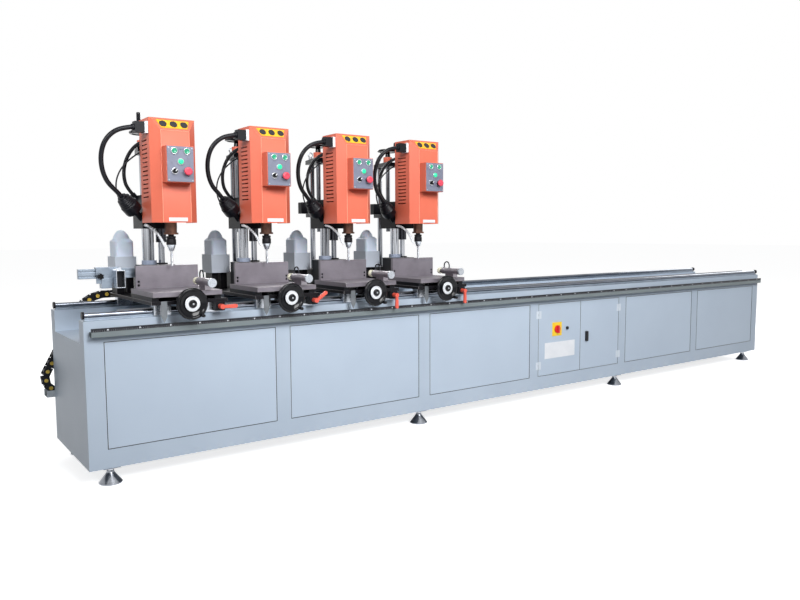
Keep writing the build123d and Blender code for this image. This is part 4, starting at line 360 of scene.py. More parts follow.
# turned pieces: each run is a finish and a profile of (radius, height) in mm along a facing or a direction
def turned(name, node, runs, place, facing, steps=40):
    whole = bmesh.new()
    for index, (finishName, profile) in enumerate(runs):
        shape = bmesh.new()
        line = [shape.verts.new((r / 1000, 0, h / 1000)) for r, h in profile]
        edges = [shape.edges.new(pair) for pair in zip(line, line[1:])]
        bmesh.ops.spin(shape, geom=line + edges, axis=(0, 0, 1), angle=math.tau, steps=steps)
        bmesh.ops.remove_doubles(shape, verts=shape.verts[:], dist=1e-6)
        bmesh.ops.dissolve_degenerate(shape, edges=shape.edges[:], dist=1e-7)
        bmesh.ops.recalc_face_normals(shape, faces=shape.faces[:])
        for face in shape.faces:
            face.material_index = index
        turn = toMesh("turn", shape)
        whole.from_mesh(turn)
        bpy.data.meshes.remove(turn)
    if isinstance(facing, str):
        aim = facings[facing]
    else:
        aim = facing.to_track_quat("Z", "Y").to_matrix().to_4x4()
    whole.transform(Matrix.Translation(place) @ aim)
    return settle(name, toMesh(name, whole), [run[0] for run in runs], bodyOf[node], node, angle=angles["turned"])


# an arc of a profile, for rims and rounded ends
def arc(middle, radius, first, last, steps):
    turns = [math.radians(first + (last - first) * n / steps) for n in range(steps + 1)]
    return [(middle[0] + radius * math.cos(t), middle[1] + radius * math.sin(t)) for t in turns]


# a block as a mesh: a unit cube put through a transform
def blockMesh(name, transform):
    shape = bmesh.new()
    bmesh.ops.create_cube(shape, size=1.0)
    shape.transform(transform)
    return toMesh(name, shape)


# points, and the edges that join them, as a mesh for a tree to work on
def pointMesh(name, points, links=()):
    mesh = bpy.data.meshes.new(name)
    mesh.from_pydata([tuple(p) for p in points], links, [])
    return mesh


def inLine(points):
    return [(n, n + 1) for n in range(len(points) - 1)]


# a geometry tree with named inputs; it takes a mesh and gives a mesh
def newTree(name, floats, whole=(), skins=("skin",)):
    tree = bpy.data.node_groups.new(name, "GeometryNodeTree")
    tree.interface.new_socket("Geometry", in_out="OUTPUT", socket_type="NodeSocketGeometry")
    tree.interface.new_socket("Geometry", in_out="INPUT", socket_type="NodeSocketGeometry")
    for kind, labels in (("Float", floats), ("Int", whole), ("Material", skins)):
        for label in labels:
            tree.interface.new_socket(label, in_out="INPUT", socket_type="NodeSocket" + kind)
    return tree, addNode(tree, "NodeGroupInput").outputs


# ends a tree: its instances become one real mesh, in one finish
def closeTree(tree, shape, skin):
    solid = addNode(tree, "GeometryNodeRealizeInstances", {0: shape})
    painted = addNode(tree, "GeometryNodeSetMaterial", {0: solid, "Material": skin})
    addNode(tree, "NodeGroupOutput", {0: painted})


# runs a tree on a mesh and keeps the result as a plain mesh
def bakeTree(name, treeName, mesh, values):
    holder = addObject(name, mesh)
    build = holder.modifiers.new("build", "NODES")
    build.node_group = bpy.data.node_groups[treeName]
    for item in build.node_group.interface.items_tree:
        if item.in_out == "INPUT" and item.name in values:
            build[item.identifier] = values[item.name]
    graph = bpy.context.evaluated_depsgraph_get()
    baked = bpy.data.meshes.new_from_object(holder.evaluated_get(graph), depsgraph=graph)
    holder.modifiers.remove(build)
    bpy.data.objects.remove(holder)
    baked.name = name
    return baked


# a piece that a tree makes from a mesh, in one finish, moved to its place
def grown(name, treeName, mesh, finishName, values, body, node=None, place=Matrix.Identity(4)):
    mesh = bakeTree(name, treeName, mesh, {**values, "skin": materials[finishName]})
    mesh.transform(place)
    return settle(name, mesh, [finishName], body, node)


# Hoses: width and length in m, points in mm from the drill axis at the underside of the slide
slideLow = 1.245
hoses = {
    "mainHose": {"width": 0.024, "length": 0.494, "points": (
        (-192, -32, 504), (-241, -31, 496), (-288, -26, 470), (-321, -17, 428), (-335, -4, 377), (-335, 9, 324),
        (-323, 22, 273), (-297, 37, 226), (-251, 57, 188), (-212, 76, 150))},
    "secondHose": {"width": 0.019, "length": 0.337, "points": (
        (-84, 117, 457), (-110, 147, 445), (-140, 171, 411), (-163, 183, 365), (-176, 187, 315),
        (-177, 187, 265), (-166, 187, 219), (-138, 185, 184))},
    "airTube": {"width": 0.008, "length": 0.473, "points": (
        (-70, 103, 420), (-71, 120, 419), (-95, 140, 405), (-140, 150, 374), (-190, 150, 328), (-225, 146, 268),
        (-234, 142, 204), (-217, 143, 148), (-180, 150, 106), (-136, 160, 76))},
}
jointed = {"width": 0.017, "length": 0.161, "segments": 14, "nozzle": slice(10, 11), "points": (
    (-104, 91, 17), (-104, 69, 17), (-94, 50, 9), (-78, 36, -7), (-60, 26, -29), (-45, 19, -56), (-35, 14, -83))}
origins = {head: middleOf(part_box(f"spindle_{head}"), z=slideLow) for head in heads}


def hoseLine(name, points, origin, width):
    line = bpy.data.curves.new(name, "CURVE")
    line.dimensions = "3D"
    spline = line.splines.new("NURBS")
    spline.points.add(len(points) - 1)
    for point, spot in zip(spline.points, points):
        point.co = (*(origin + Vector(spot) / 1000), 1.0)
    spline.order_u = 3
    spline.use_endpoint_u = True
    spline.resolution_u = 10
    line.bevel_depth = width / 2
    line.bevel_resolution = 5
    return addObject(name, line)


# Jointed coolant hose: a cup and a neck at every station of the route
tree, given = newTree("jointedHose", ("width", "pitch"), ("segments",))
route = addNode(tree, "GeometryNodeMeshToCurve", {0: given["Geometry"]})
stations = addNode(tree, "GeometryNodeCurveToPoints", {0: route, "Count": given["segments"]}, mode="COUNT")
half, slim, deep, long, lift = [
    addNode(tree, "ShaderNodeMath", {0: given[key], 1: share}, operation="MULTIPLY")
    for key, share in (("width", 0.5), ("width", 0.36), ("pitch", 0.62), ("pitch", 1.25), ("pitch", -0.31))
]
drop = addNode(tree, "ShaderNodeCombineXYZ", {"Z": lift})
cup = addNode(tree, "GeometryNodeMeshCone",
    {"Vertices": 20, "Side Segments": 2, "Radius Top": slim, "Radius Bottom": half, "Depth": deep})
cupAt = addNode(tree, "GeometryNodeTransform", {0: cup, "Translation": drop})
neck = addNode(tree, "GeometryNodeMeshCylinder", {"Vertices": 16, "Radius": slim, "Depth": long})
segment = addNode(tree, "GeometryNodeJoinGeometry")
for part in (cupAt, neck):
    tree.links.new(part.outputs[0], segment.inputs[0])
laid = addNode(tree, "GeometryNodeInstanceOnPoints",
    {0: stations, "Instance": segment, "Rotation": stations.outputs["Rotation"]})
closeTree(tree, laid, given["skin"])

for head in heads:
    origin = origins[head]
    body, node = f"head_{head}", f"drill_head_{head}"
    for label, sizes in hoses.items():
        hose = hoseLine(f"{label}{head}", sizes["points"], origin, sizes["width"])
        hose.data.materials.append(materials["hoseRubberAndGapShade"])
        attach(hose, body)
        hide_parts(node)
    bare = hoseLine("bare", jointed["points"], origin, 0.0)
    graph = bpy.context.evaluated_depsgraph_get()
    trace = bpy.data.meshes.new_from_object(bare.evaluated_get(graph), depsgraph=graph)
    bpy.data.objects.remove(bare)
    pitch = jointed["length"] / (jointed["segments"] - 1)
    hose = grown(f"coolantHose{head}", "jointedHose", trace, "coolantPlastic", {**jointed, "pitch": pitch}, body,
        node)
    nozzle = dress(f"nozzle{head}", node, solidsOf(node)[jointed["nozzle"]], "coolantPlastic")
print("hoses:", (len(hoses) + 1) * len(heads))

# Socket-head screws facing the operator: a drum with a sunk socket at every point
socketDeep = -0.6
tree, given = newTree("socketScrews", ("radius", "height", "socket"))
drum = addNode(tree, "GeometryNodeMeshCylinder",
    {"Vertices": 18, "Radius": given["radius"], "Depth": given["height"]})
rimmed = addNode(tree, "GeometryNodeExtrudeMesh",
    {"Mesh": drum.outputs["Mesh"], "Selection": drum.outputs["Top"], "Offset Scale": 0.0})
narrow = addNode(tree, "GeometryNodeScaleElements",
    {"Geometry": rimmed.outputs["Mesh"], "Selection": rimmed.outputs["Top"], "Scale": given["socket"]})
depth = addNode(tree, "ShaderNodeMath", {0: given["height"], 1: socketDeep}, operation="MULTIPLY")
sunk = addNode(tree, "GeometryNodeExtrudeMesh",
    {"Mesh": narrow.outputs["Geometry"], "Selection": rimmed.outputs["Top"], "Offset Scale": depth})
laid = addNode(tree, "GeometryNodeInstanceOnPoints",
    {0: given["Geometry"], "Instance": sunk.outputs["Mesh"], "Rotation": (math.pi / 2, 0, 0)})
closeTree(tree, laid, given["skin"])


# screws in the places of a node's own screw solids, which are all of one size
def screwRow(name, node, picked, finishName, socket=0.55):
    boxes = [boxOf(solid) for solid in picked]
    size = boxes[0][1] - boxes[0][0]
    return grown(name, "socketScrews", pointMesh(name + "Places", [middleOf(box) for box in boxes]), finishName,
        {"radius": size.x / 2, "height": size.y, "socket": socket}, bodyOf[node], node)


# Lines in a row along X, every fifth one longer
inkThick, shortLine = 0.0003, 0.6
tree, given = newTree("ruleLines", ("pitch", "width", "tall"), ("count",))
step = addNode(tree, "ShaderNodeCombineXYZ", {"X": given["pitch"]})
row = addNode(tree, "GeometryNodeMeshLine", {"Count": given["count"], "Offset": step})
stroke = addNode(tree, "ShaderNodeCombineXYZ", {"X": given["width"], "Y": inkThick, "Z": given["tall"]})
bar = addNode(tree, "GeometryNodeMeshCube", {"Size": stroke})
number = addNode(tree, "GeometryNodeInputIndex")
fifth = addNode(tree, "ShaderNodeMath", {0: number, 1: 5.0}, operation="MODULO")
marked = addNode(tree, "ShaderNodeMath", {0: fifth, 1: 0.5}, operation="LESS_THAN")
taller = addNode(tree, "ShaderNodeMapRange", {"Value": marked, "To Min": shortLine, "To Max": 1.0})
stretch = addNode(tree, "ShaderNodeCombineXYZ", {"X": 1.0, "Y": 1.0, "Z": taller})
laid = addNode(tree, "GeometryNodeInstanceOnPoints", {0: row, "Instance": bar, "Scale": stretch})
closeTree(tree, laid, given["skin"])

# Lines round a dial, which stands up across Z
tree, given = newTree("dialLines", ("ring", "width", "long"), ("count",))
row = addNode(tree, "GeometryNodeMeshCircle", {"Vertices": given["count"], "Radius": given["ring"]})
spot = addNode(tree, "GeometryNodeInputPosition")
outward = addNode(tree, "FunctionNodeAlignRotationToVector", {"Vector": spot}, axis="X", pivot_axis="Z")
stroke = addNode(tree, "ShaderNodeCombineXYZ", {"X": given["long"], "Y": given["width"], "Z": inkThick})
bar = addNode(tree, "GeometryNodeMeshCube", {"Size": stroke})
laid = addNode(tree, "GeometryNodeInstanceOnPoints", {0: row, "Instance": bar, "Rotation": outward})
closeTree(tree, laid, given["skin"])

# A round bead along edges
tree, given = newTree("edgeBead", ("radius",))
route = addNode(tree, "GeometryNodeMeshToCurve", {0: given["Geometry"]})
section = addNode(tree, "GeometryNodeCurvePrimitiveCircle", {"Resolution": 8, "Radius": given["radius"]})
swept = addNode(tree, "GeometryNodeCurveToMesh", {0: route, 1: section})
closeTree(tree, swept, given["skin"])

# Bed: its solids in the order of their making, as label, first, end, finish and rounding in mm
bedDressing = {
    "bed_frame": (
        ("bedShell", 0, 27, "bedEnamel", 0.0),
        ("chainTray", 27, 30, "galvanised", 0.0),
        ("gearPlate", 30, 31, "galvanised", 1.0),
        ("contactors", 31, 39, "gearPlastic", 2.0),
        ("powerSupply", 39, 40, "zincSteel", 2.0),
        ("bedHinges", 40, None, "paleHighlightEnamel", 0.4),
    ),
    "front_panels": (("frontPanels", 0, None, "panelEnamel", 1.3),),
    "left_door": (
        ("leftDoorSheet", 0, 1, "panelEnamel", 1.3),
        ("switchPlate", 1, 2, "plateYellow", 0.8),
        ("doorLamp", 2, 3, "blackNylonAndShade", 1.5),
        ("leftDoorHinges", 4, None, "paleHighlightEnamel", 0.4),
    ),
    "right_door": (("rightDoorSheet", 0, 1, "panelEnamel", 1.3), ("rightDoorHinges", 1, None, "paleHighlightEnamel", 0.4)),
    "main_switch": (("mainSwitch", 0, None, "switchRed", 2.0),),
    "door_latch": (("doorLatch", 0, None, "blackNylonAndShade", 2.0),),
    "scale_ledge": (("scaleLedge", 0, 1, "ledgeEnamel", 1.5), ("steelRule", 1, 2, "etchedRule", 0.4)),
    "feed_rack": (("feedRack", 0, None, "milledSteel", 0.0),),
    "length_stop": (("stopTube", 0, 1, "blockAluminium", 1.0), ("stopKnob", 1, None, "phenolic", 1.0)),
}
for node, parts in bedDressing.items():
    dressParts(node, parts)

# Blank name plate, cut down from its mounting patch
plateTrim = 0.022
patch = solidsOf("left_door")[3]
plateLow, plateHigh = [corner.z for corner in boxOf(patch)]
namePlate = [[(x, y, min(max(z, plateLow + plateTrim), plateHigh - plateTrim)) for x, y, z in triangle]
    for triangle in patch]
dress("namePlate", "left_door", [namePlate], "plateWhite", 0.8)

# Dark bead in the gap round every panel and door: painted shade for the gap, drawn a little wide to show as a dark
# line
gapShadeSizes = {"panel": 0.0023, "door": 0.0016, "gap": 0.0015, "sunk": 0.0006}
for name, sheets, radius in (
    ("panelGapShade", solidsOf("front_panels"), gapShadeSizes["panel"]),
    ("doorGapShade", [solidsOf("left_door")[0], solidsOf("right_door")[0]], gapShadeSizes["door"]),
):
    corners, links = [], []
    for sheet in sheets:
        low, high = boxOf(sheet)
        gap, face, first = gapShadeSizes["gap"], low.y + gapShadeSizes["sunk"], len(corners)
        corners += [(low.x - gap, face, low.z - gap), (high.x + gap, face, low.z - gap),
            (high.x + gap, face, high.z + gap), (low.x - gap, face, high.z + gap)]
        links += [(first + n, first + (n + 1) % 4) for n in range(4)]
    piece = grown(name, "edgeBead", pointMesh(name, corners, links), "hoseRubberAndGapShade", {"radius": radius}, "bed")

# Levelling feet: turned bells under their nuts and flanges
feet = solidsOf("levelling_feet")
bellShape = [(0, 0), (53, 0), (56, 2), (56, 7), (52, 12), (41, 26), (30, 40), (22, 51), (18.5, 57), (18, 63),
    (15, 65.5), (9, 65.9), (9, 94), (0, 94)]
for n, bell in enumerate(feet[0::3]):
    turned(f"footBell{n + 1}", "levelling_feet", [("bellChrome", bellShape)], middleOf(boxOf(bell), z=0.0), "up")
dress("footNuts", "levelling_feet", feet[1::3], "zincSteel", 0.8)
dress("footFlanges", "levelling_feet", feet[2::3], "bedEnamel", 1.0)

# Marks and screws of the steel rule
ruleMarks = {"pitch": 0.01, "width": 0.001, "tall": 0.008, "lift": 0.001, "socket": 0.4}
ledge = solidsOf("scale_ledge")
screwRow("ruleScrews", "scale_ledge", ledge[2:], "zincSteel", ruleMarks["socket"])
low, high = boxOf(ledge[1])
count = int((high.x - low.x) / ruleMarks["pitch"]) - 1
markAt = (low.x + ruleMarks["pitch"], low.y, low.z + ruleMarks["tall"] / 2 + ruleMarks["lift"])
grown("ruleMarks", "ruleLines", pointMesh("ruleStart", [(0, 0, 0)]), "rulerInk", {**ruleMarks, "count": count},
    "bed", "scale_ledge", Matrix.Translation(markAt))

# Guide rails: a shaft, a support and two stops for each of the two rails
rails = solidsOf("guide_rails")
dress("railShafts", "guide_rails", rails[0::4], "reflectionDarkShaft", 1.0)
dress("railSupports", "guide_rails", rails[1::4], "extrudedAluminiumAndShade", 0.8)
dress("railStops", "guide_rails", rails[2:4] + rails[6:8], "blackOxide", 1.5)

# Length stop: its shoe takes a darker finish than its square tube as painted shade, and a black plug in the tube's
# mouth is painted shade for its dark inside
stopSizes = {"tube": 0.0455, "mouth": 0.0293, "width": 0.0382, "tall": 0.0832, "middle": 0.988, "side": 0.0225,
    "sunk": 0.006, "thick": 0.004, "rounding": 0.6}
low, high = boxOf(solidsOf("length_stop")[0])
stopTube = bpy.data.objects["stopTube"].data
stopTube.materials.append(materials["extrudedAluminiumAndShade"])
for polygon in stopTube.polygons:
    polygon.material_index = 1 if polygon.center.x < high.x - stopSizes["tube"] else 0
shadePlugAt = (high.x - stopSizes["side"], low.y + stopSizes["mouth"] + stopSizes["sunk"], stopSizes["middle"])
shadePlugSize = (stopSizes["width"], stopSizes["thick"], stopSizes["tall"], 1.0)
mesh = blockMesh("stopTubeShadePlug", Matrix.Translation(shadePlugAt) @ Matrix.Diagonal(shadePlugSize))
shadePlug = settle("stopTubeShadePlug", mesh, ["blackNylonAndShade"], "length_stop", bevel=stopSizes["rounding"])
print("bed dressed")

# Heads: the solids of each head's nodes in the order of their making, in the same columns as the bed's
headDressing = {
    "carriage": (
        ("basePlate", 0, 1, "blackOxide", 1.5),
        ("bearingBlocks", 1, 5, "blockAluminium", 2.0),
        ("risers", 5, 7, "castBlack", 1.0),
        ("table", 7, 8, "groundSteel", 1.5),
        ("fence", 8, 9, "groundSteel", 1.0),
        ("shaftHousing", 13, 14, "castBlack", 1.5),
        ("pointer", 14, 15, "pointerSteel", 0.5),
        ("lockBlock", 15, 16, "castBlack", 1.5),
        ("clampBody", 16, 17, "clampAluminium", 1.0),
        ("clampPipe", 17, 18, "darkChrome", 0.0),
        ("clampCap", 18, 19, "blockAluminium", 1.5),
        ("canisterHolder", 19, 20, "holderSheet", 0.8),
        ("canister", 20, 21, "milkyPoly", 3.0),
        ("holderLegs", 22, 24, "blackOxide", 1.0),
        ("columnBase", 24, 26, "castBlack", 2.0),
        ("liftColumn", 26, 27, "reflectionRunChrome", 1.0),
        ("columnCollar", 27, 28, "riserEnamel", 1.5),
        ("guideRod", 28, 29, "reflectionRunChrome", 1.0),
        ("rodFlange", 29, 30, "blackOxide", 1.0),
        ("rearPost", 30, 31, "reflectionRunChrome", 1.0),
        ("crown", 31, 32, "castBlack", 2.0),
        ("liftCollar", 32, 33, "orangeCoat", 1.5),
        ("eyeBolt", 33, 34, "zincSteel", 0.0),
        ("stopRail", 34, 35, "extrudedAluminiumAndShade", 0.6),
        ("chainBoom", 35, 36, "blackOxide", 1.0),
    ),
    "drill_head": (
        ("slide", 0, 1, "castBlack", 1.5),
        ("backPlate", 1, 2, "castBlack", 0.8),
        ("spindleHousing", 2, 3, "quillSteel", 1.0),
        ("motor", 3, 4, "motorGrey", 3.0),
        ("guideSleeve", 4, 5, "darkChrome", 1.0),
        ("junctionBox", 11, 12, "blackNylonAndShade", 3.0),
    ),
    "head_cover": (
        ("cover", 0, 1, "orangeCoat", 0.0),
        ("strip", 1, 2, "stripYellow", 0.6),
        ("stripPlugs", 2, 5, "inkBlack", 1.2),
        ("controlBox", 5, 6, "orangeCoat", 1.5),
        ("controlPanel", 6, 7, "panelGrey", 1.0),
        ("plugHood", 8, 9, "blackNylonAndShade", 3.0),
        ("plugBase", 9, 10, "plateWhite", 2.0),
        ("coverPlate", 10, 11, "plateWhite", 0.6),
        ("selectorRing", 11, 12, "bezelChrome", 1.0),
        ("stopRing", 12, 13, "blackNylonAndShade", 1.0),
        ("startBezels", 13, 15, "bezelChrome", 1.2),
    ),
    "clamp_ram": (("clampRam", 0, 1, "reflectionRunChrome", 0.5), ("clampPad", 1, None, "padUrethane", 2.0)),
    "lock_lever": (("lockLever", 0, None, "leverCoat", 2.0),),
    "selector": (("selector", 0, None, "blackNylonAndShade", 1.0),),
    "handwheel": (("feedShaft", 1, 2, "milledSteel", 0.0),),
    "lift_wheel": (("liftScrew", 1, 2, "milledSteel", 0.5),),
}
screwRows = (("fence", "carriage", slice(9, 13), "blackOxide"), ("panel", "head_cover", slice(15, 19), "zincSteel"))
# solids that have their own shapes below, or give a place
solidAt = {"canisterCap": 21, "pilotLamp": 7, "chainBoom": 35, "feedGrip": 3, "liftWheel": 0, "liftGrip": 2}
coverPlateTall = 0.72  # blank plate on the cover, cut down from its mounting patch
for head in heads:
    for kind, parts in headDressing.items():
        dressParts(f"{kind}_{head}", parts, head)
    plate = bpy.data.objects[f"coverPlate{head}"].data.vertices
    middle = sum(vertex.co.z for vertex in plate) / len(plate)
    for vertex in plate:
        vertex.co.z = middle + (vertex.co.z - middle) * coverPlateTall
    for label, kind, screws, finishName in screwRows:
        node = f"{kind}_{head}"
        screwRow(f"{label}Screws{head}", node, solidsOf(node)[screws], finishName)

# Bare end of the first head's slotted rail, beyond the stop's travel
railTail = {"long": 0.045, "band": 0.001}
rail = bpy.data.objects["stopRail1"].data.vertices
end = min(vertex.co.x for vertex in rail)
for vertex in rail:
    vertex.co.x -= railTail["long"] if vertex.co.x < end + railTail["band"] else 0.0
print("carriages and heads dressed")

# Domed lid of each coolant canister, from the canister's shoulder up
lidShape = [(0, -22), (45, -22), (44, -9.6), (43, -4), (39, 6), (34, 15), (29, 23), (22, 31), (14, 36),
    (7, 37.8), (0, 38)]
for head in heads:
    node = f"carriage_{head}"
    box = boxOf(solidsOf(node)[solidAt["canisterCap"]])
    turned(f"canisterCap{head}", node, [("milkyPoly", lidShape)], middleOf(box, z=box[0].z), "up")

# Ribbed rubber boot that takes the main hose into the slide, in mm along the hose's last run
bootSizes = {"collar": 24.0, "neck": 35.0, "flare": 2.2, "body": 46.0, "groove": 2.8, "start": -22.0, "end": 86.0,
    "bore": 12.5, "ribs": 4, "ribStart": 16, "ribPitch": 10}
foot, collar = bootSizes["start"], bootSizes["collar"]
bootShape = [(bootSizes["bore"], foot), (collar - 3, foot + 0.8), (collar, foot + 3), (collar, foot + 12),
    (collar + 3, foot + 15)]
for rib in range(bootSizes["ribs"]):
    first = foot + bootSizes["ribStart"] + bootSizes["ribPitch"] * rib
    wide = bootSizes["neck"] + bootSizes["flare"] * rib
    inner = wide - bootSizes["groove"]
    bootShape += [(inner, first), (wide, first + 2.2), (wide, first + 5.4), (inner, first + 7.4)]
wide, tail = bootSizes["body"], bootSizes["end"]
bootShape += [(wide - 3, foot + 57), (wide, foot + 61), (wide, tail - 8), (wide - 2, tail), (0, tail)]
lastRun = [Vector(point) for point in hoses["mainHose"]["points"][-2:]]
for head in heads:
    turned(f"hoseBoot{head}", f"drill_head_{head}", [("hoseRubberAndGapShade", bootShape)],
        origins[head] + lastRun[1] / 1000, lastRun[1] - lastRun[0])

# Pressed hoods over the slots in the cover's sides
tree, given = newTree("louvreHoods", ("long", "rise", "tall"))
swell = addNode(tree, "GeometryNodeMeshUVSphere", {"Segments": 14, "Rings": 8, "Radius": 1.0})
half = addNode(tree, "ShaderNodeMath", {0: given["long"], 1: 0.5}, operation="MULTIPLY")
shape = addNode(tree, "ShaderNodeCombineXYZ", {"X": given["rise"], "Y": half, "Z": given["tall"]})
pressed = addNode(tree, "GeometryNodeTransform", {0: swell, "Scale": shape})
laid = addNode(tree, "GeometryNodeInstanceOnPoints", {0: given["Geometry"], "Instance": pressed})
closeTree(tree, laid, given["skin"])
louvreSizes = {"rows": 14, "pitch": 0.022, "first": 0.131, "middle": 0.014, "long": 0.088, "rise": 0.0035,
    "tall": 0.0045, "lift": 0.001}
# painted highlight lines along the cover's folds, and the white bar on each selector
foldHighlightSizes = {"chamfer": 0.045, "slope": 0.065, "radius": 0.0014}
selectorBar = {"angle": 38, "offset": 0.0048, "size": (0.0042, 0.0006, 0.013, 1.0), "proud": 0.0002,
    "rounding": 0.15}
for head in heads:
    node = f"head_cover_{head}"
    low, high = boxOf(solidsOf(node)[0])
    places = []
    for side in (low.x, high.x):
        for row in range(louvreSizes["rows"]):
            height = (low.z + louvreSizes["first"] + row * louvreSizes["pitch"] + louvreSizes["tall"]
                + louvreSizes["lift"])
            places.append((side, origins[head].y + louvreSizes["middle"], height))
    grown(f"louvres{head}", "louvreHoods", pointMesh("louvrePlaces", places), "orangeCoat", louvreSizes,
        bodyOf[node], node)
    left, right = low.x + foldHighlightSizes["chamfer"], high.x - foldHighlightSizes["chamfer"]
    top = high.z - foldHighlightSizes["slope"]
    corners = [(left, low.y, low.z), (left, low.y, top), (right, low.y, top), (right, low.y, low.z)]
    grown(f"coverFolds{head}", "edgeBead", pointMesh("foldHighlightRoute", corners, inLine(corners)), "foldHighlightCoat", foldHighlightSizes,
        bodyOf[node], node)
    node = f"selector_{head}"
    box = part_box(node)
    middle = middleOf(box, y=box[0].y - selectorBar["proud"])
    turn = Matrix.Rotation(math.radians(selectorBar["angle"]), 4, "Y")
    mesh = blockMesh(f"selectorMark{head}", Matrix.Translation(middle) @ turn
        @ Matrix.Translation((0, 0, selectorBar["offset"])) @ Matrix.Diagonal(selectorBar["size"]))
    settle(f"selectorMark{head}", mesh, ["whiteInk"], node, node, selectorBar["rounding"])
print("boots and louvres made")

# Hand wheels: dished phenolic disc with a satin dial and a turned grip; profiles in mm
wheelSizes = {"rim": 71.0, "bead": 9.0, "hub": 20.0, "dial": 38.0, "bore": 10.1}
dialMarks = {"count": 40, "ring": 0.0335, "width": 0.0009, "long": 0.006, "face": 0.008}
rim, hub, dial, bore = [wheelSizes[key] for key in ("rim", "hub", "dial", "bore")]
discShape = [(bore, -17), (hub - 2, -17), (hub, -15), (hub + 1.5, -5), (rim - 9, -5),
    *arc((rim, 0), wheelSizes["bead"], -150, 150, 14), (rim - 10, 2.5), (dial + 4, -1), (dial + 1.5, 4),
    (hub + 0.4, 4), (hub, 14), (hub - 3, 17), (hub - 6, 18.2), (4.6, 18.2), (4.6, 17.1), (bore, 17.1),
    (bore, -17)]
dotShape = [(0, 17.1), (4.4, 17.1), (4.4, 18.4), (3.6, 19), (0, 19)]
dialShape = [(hub + 0.6, 4.1), (dial - 0.5, 4.1), (dial, 4.6), (dial, 7.2), (dial - 1, 8), (hub + 1.2, 8),
    (hub + 0.6, 7.4), (hub + 0.6, 4.1)]
gripShape = [(0, 0), (5, 0), (5, 3), (7.2, 4), (8.2, 12), (9, 24), (8.6, 34), *arc((4.6, 36), 4, 0, 90, 5), (0, 40)]
liftShape = [(bore, 0), (17, 0), (18, 1), (15.5, 32), (53, 36), *arc((61, 41), 9, -150, 150, 14), (52, 45),
    (18, 45), (14, 48), (12.5, 50), (bore, 50), (bore, 0)]
for head in heads:
    node = f"handwheel_{head}"
    centre = Vector(anchorOf[f"handwheel_turn_{head}"])
    turned(f"feedWheel{head}", node, [("phenolic", discShape), ("dialSatin", dialShape), ("zincSteel", dotShape)],
        centre, "front", steps=64)
    face = Matrix.Translation(centre) @ facings["front"] @ Matrix.Translation((0, 0, dialMarks["face"]))
    grown(f"dialMarks{head}", "dialLines", pointMesh("dialStart", [(0, 0, 0)]), "inkBlack", dialMarks, node, node,
        face)
    box = boxOf(solidsOf(node)[solidAt["feedGrip"]])
    turned(f"feedGrip{head}", node, [("phenolic", gripShape)], middleOf(box, y=box[1].y), "front", steps=28)
    node = f"lift_wheel_{head}"
    liftAt = Vector(anchorOf[f"lift_turn_{head}"])
    liftAt.z = boxOf(solidsOf(node)[solidAt["liftWheel"]])[0].z
    turned(f"liftWheel{head}", node, [("phenolic", liftShape)], liftAt, "up", steps=56)
    box = boxOf(solidsOf(node)[solidAt["liftGrip"]])
    tall = (box[1].z - box[0].z) * 1000
    postShape = [(0, 0), (7, 0), (7, 3), (9, 5), (10.4, 0.3 * tall), (11, 0.66 * tall), (10.8, tall - 12),
        *arc((4.8, tall - 6), 6, 0, 90, 6), (0, tall)]
    turned(f"liftGrip{head}", node, [("phenolic", postShape)], middleOf(box, z=box[0].z), "up", steps=28)
print("hand wheels turned")

# Chuck: black sleeve over a bright nose; profiles in mm
chuckLow = 1.128
noseShape = [(7.1, 0), (11.5, 0), (12.5, 2), (21.5, 26), (22, 31), (7.1, 31), (7.1, 0)]
sleeveShape = [(7.1, 31.2), (24, 31.2), (25, 32.5), (25, 58), (24, 60), (22, 61), (22, 64), (24, 65.5), (24, 75),
    (22.5, 77), (15, 77), (15, 190), (7.1, 190), (7.1, 31.2)]
# Drill: a two-flute twist, pointed at its tip
drillSizes = {"tip": 1.045, "width": 14.0, "twist": 50.0, "held": 0.02, "point": 0.0045, "chisel": 0.08,
    "fluteWide": 0.42, "fluteDeep": 0.52, "levels": 64, "sides": 28}
sides, levels = drillSizes["sides"], drillSizes["levels"]
reach = chuckLow - drillSizes["tip"] + drillSizes["held"]
for head in heads:
    node = f"spindle_{head}"
    centre = Vector((origins[head].x, origins[head].y, chuckLow))
    turned(f"chuck{head}", node, [("blockAluminium", noseShape), ("blackOxide", sleeveShape)], centre, "up",
        steps=48)
    shape = bmesh.new()
    rings = []
    for level in range(levels + 1):
        height = reach * level / levels
        turn = math.tau * height * 1000 / drillSizes["twist"]
        taper = min(1.0, drillSizes["chisel"] + height / drillSizes["point"])
        ring = []
        for side in range(sides):
            angle = math.tau * side / sides
            flute = math.exp(-((math.sin(angle)) / drillSizes["fluteWide"]) ** 2)
            size = drillSizes["width"] / 2000 * taper * (1 - drillSizes["fluteDeep"] * flute)
            ring.append(shape.verts.new((size * math.cos(angle + turn), size * math.sin(angle + turn), height)))
        rings.append(ring)
    for lower, upper in zip(rings, rings[1:]):
        for side in range(sides):
            after = (side + 1) % sides
            shape.faces.new((lower[side], lower[after], upper[after], upper[side]))
    shape.faces.new(list(reversed(rings[0])))
    shape.faces.new(rings[-1])
    shape.transform(Matrix.Translation((centre.x, centre.y, drillSizes["tip"])))
    settle(f"drill{head}", toMesh(f"drill{head}", shape), ["zincSteel"], node, node, angle=angles["drill"])
print("chucks and drills made")

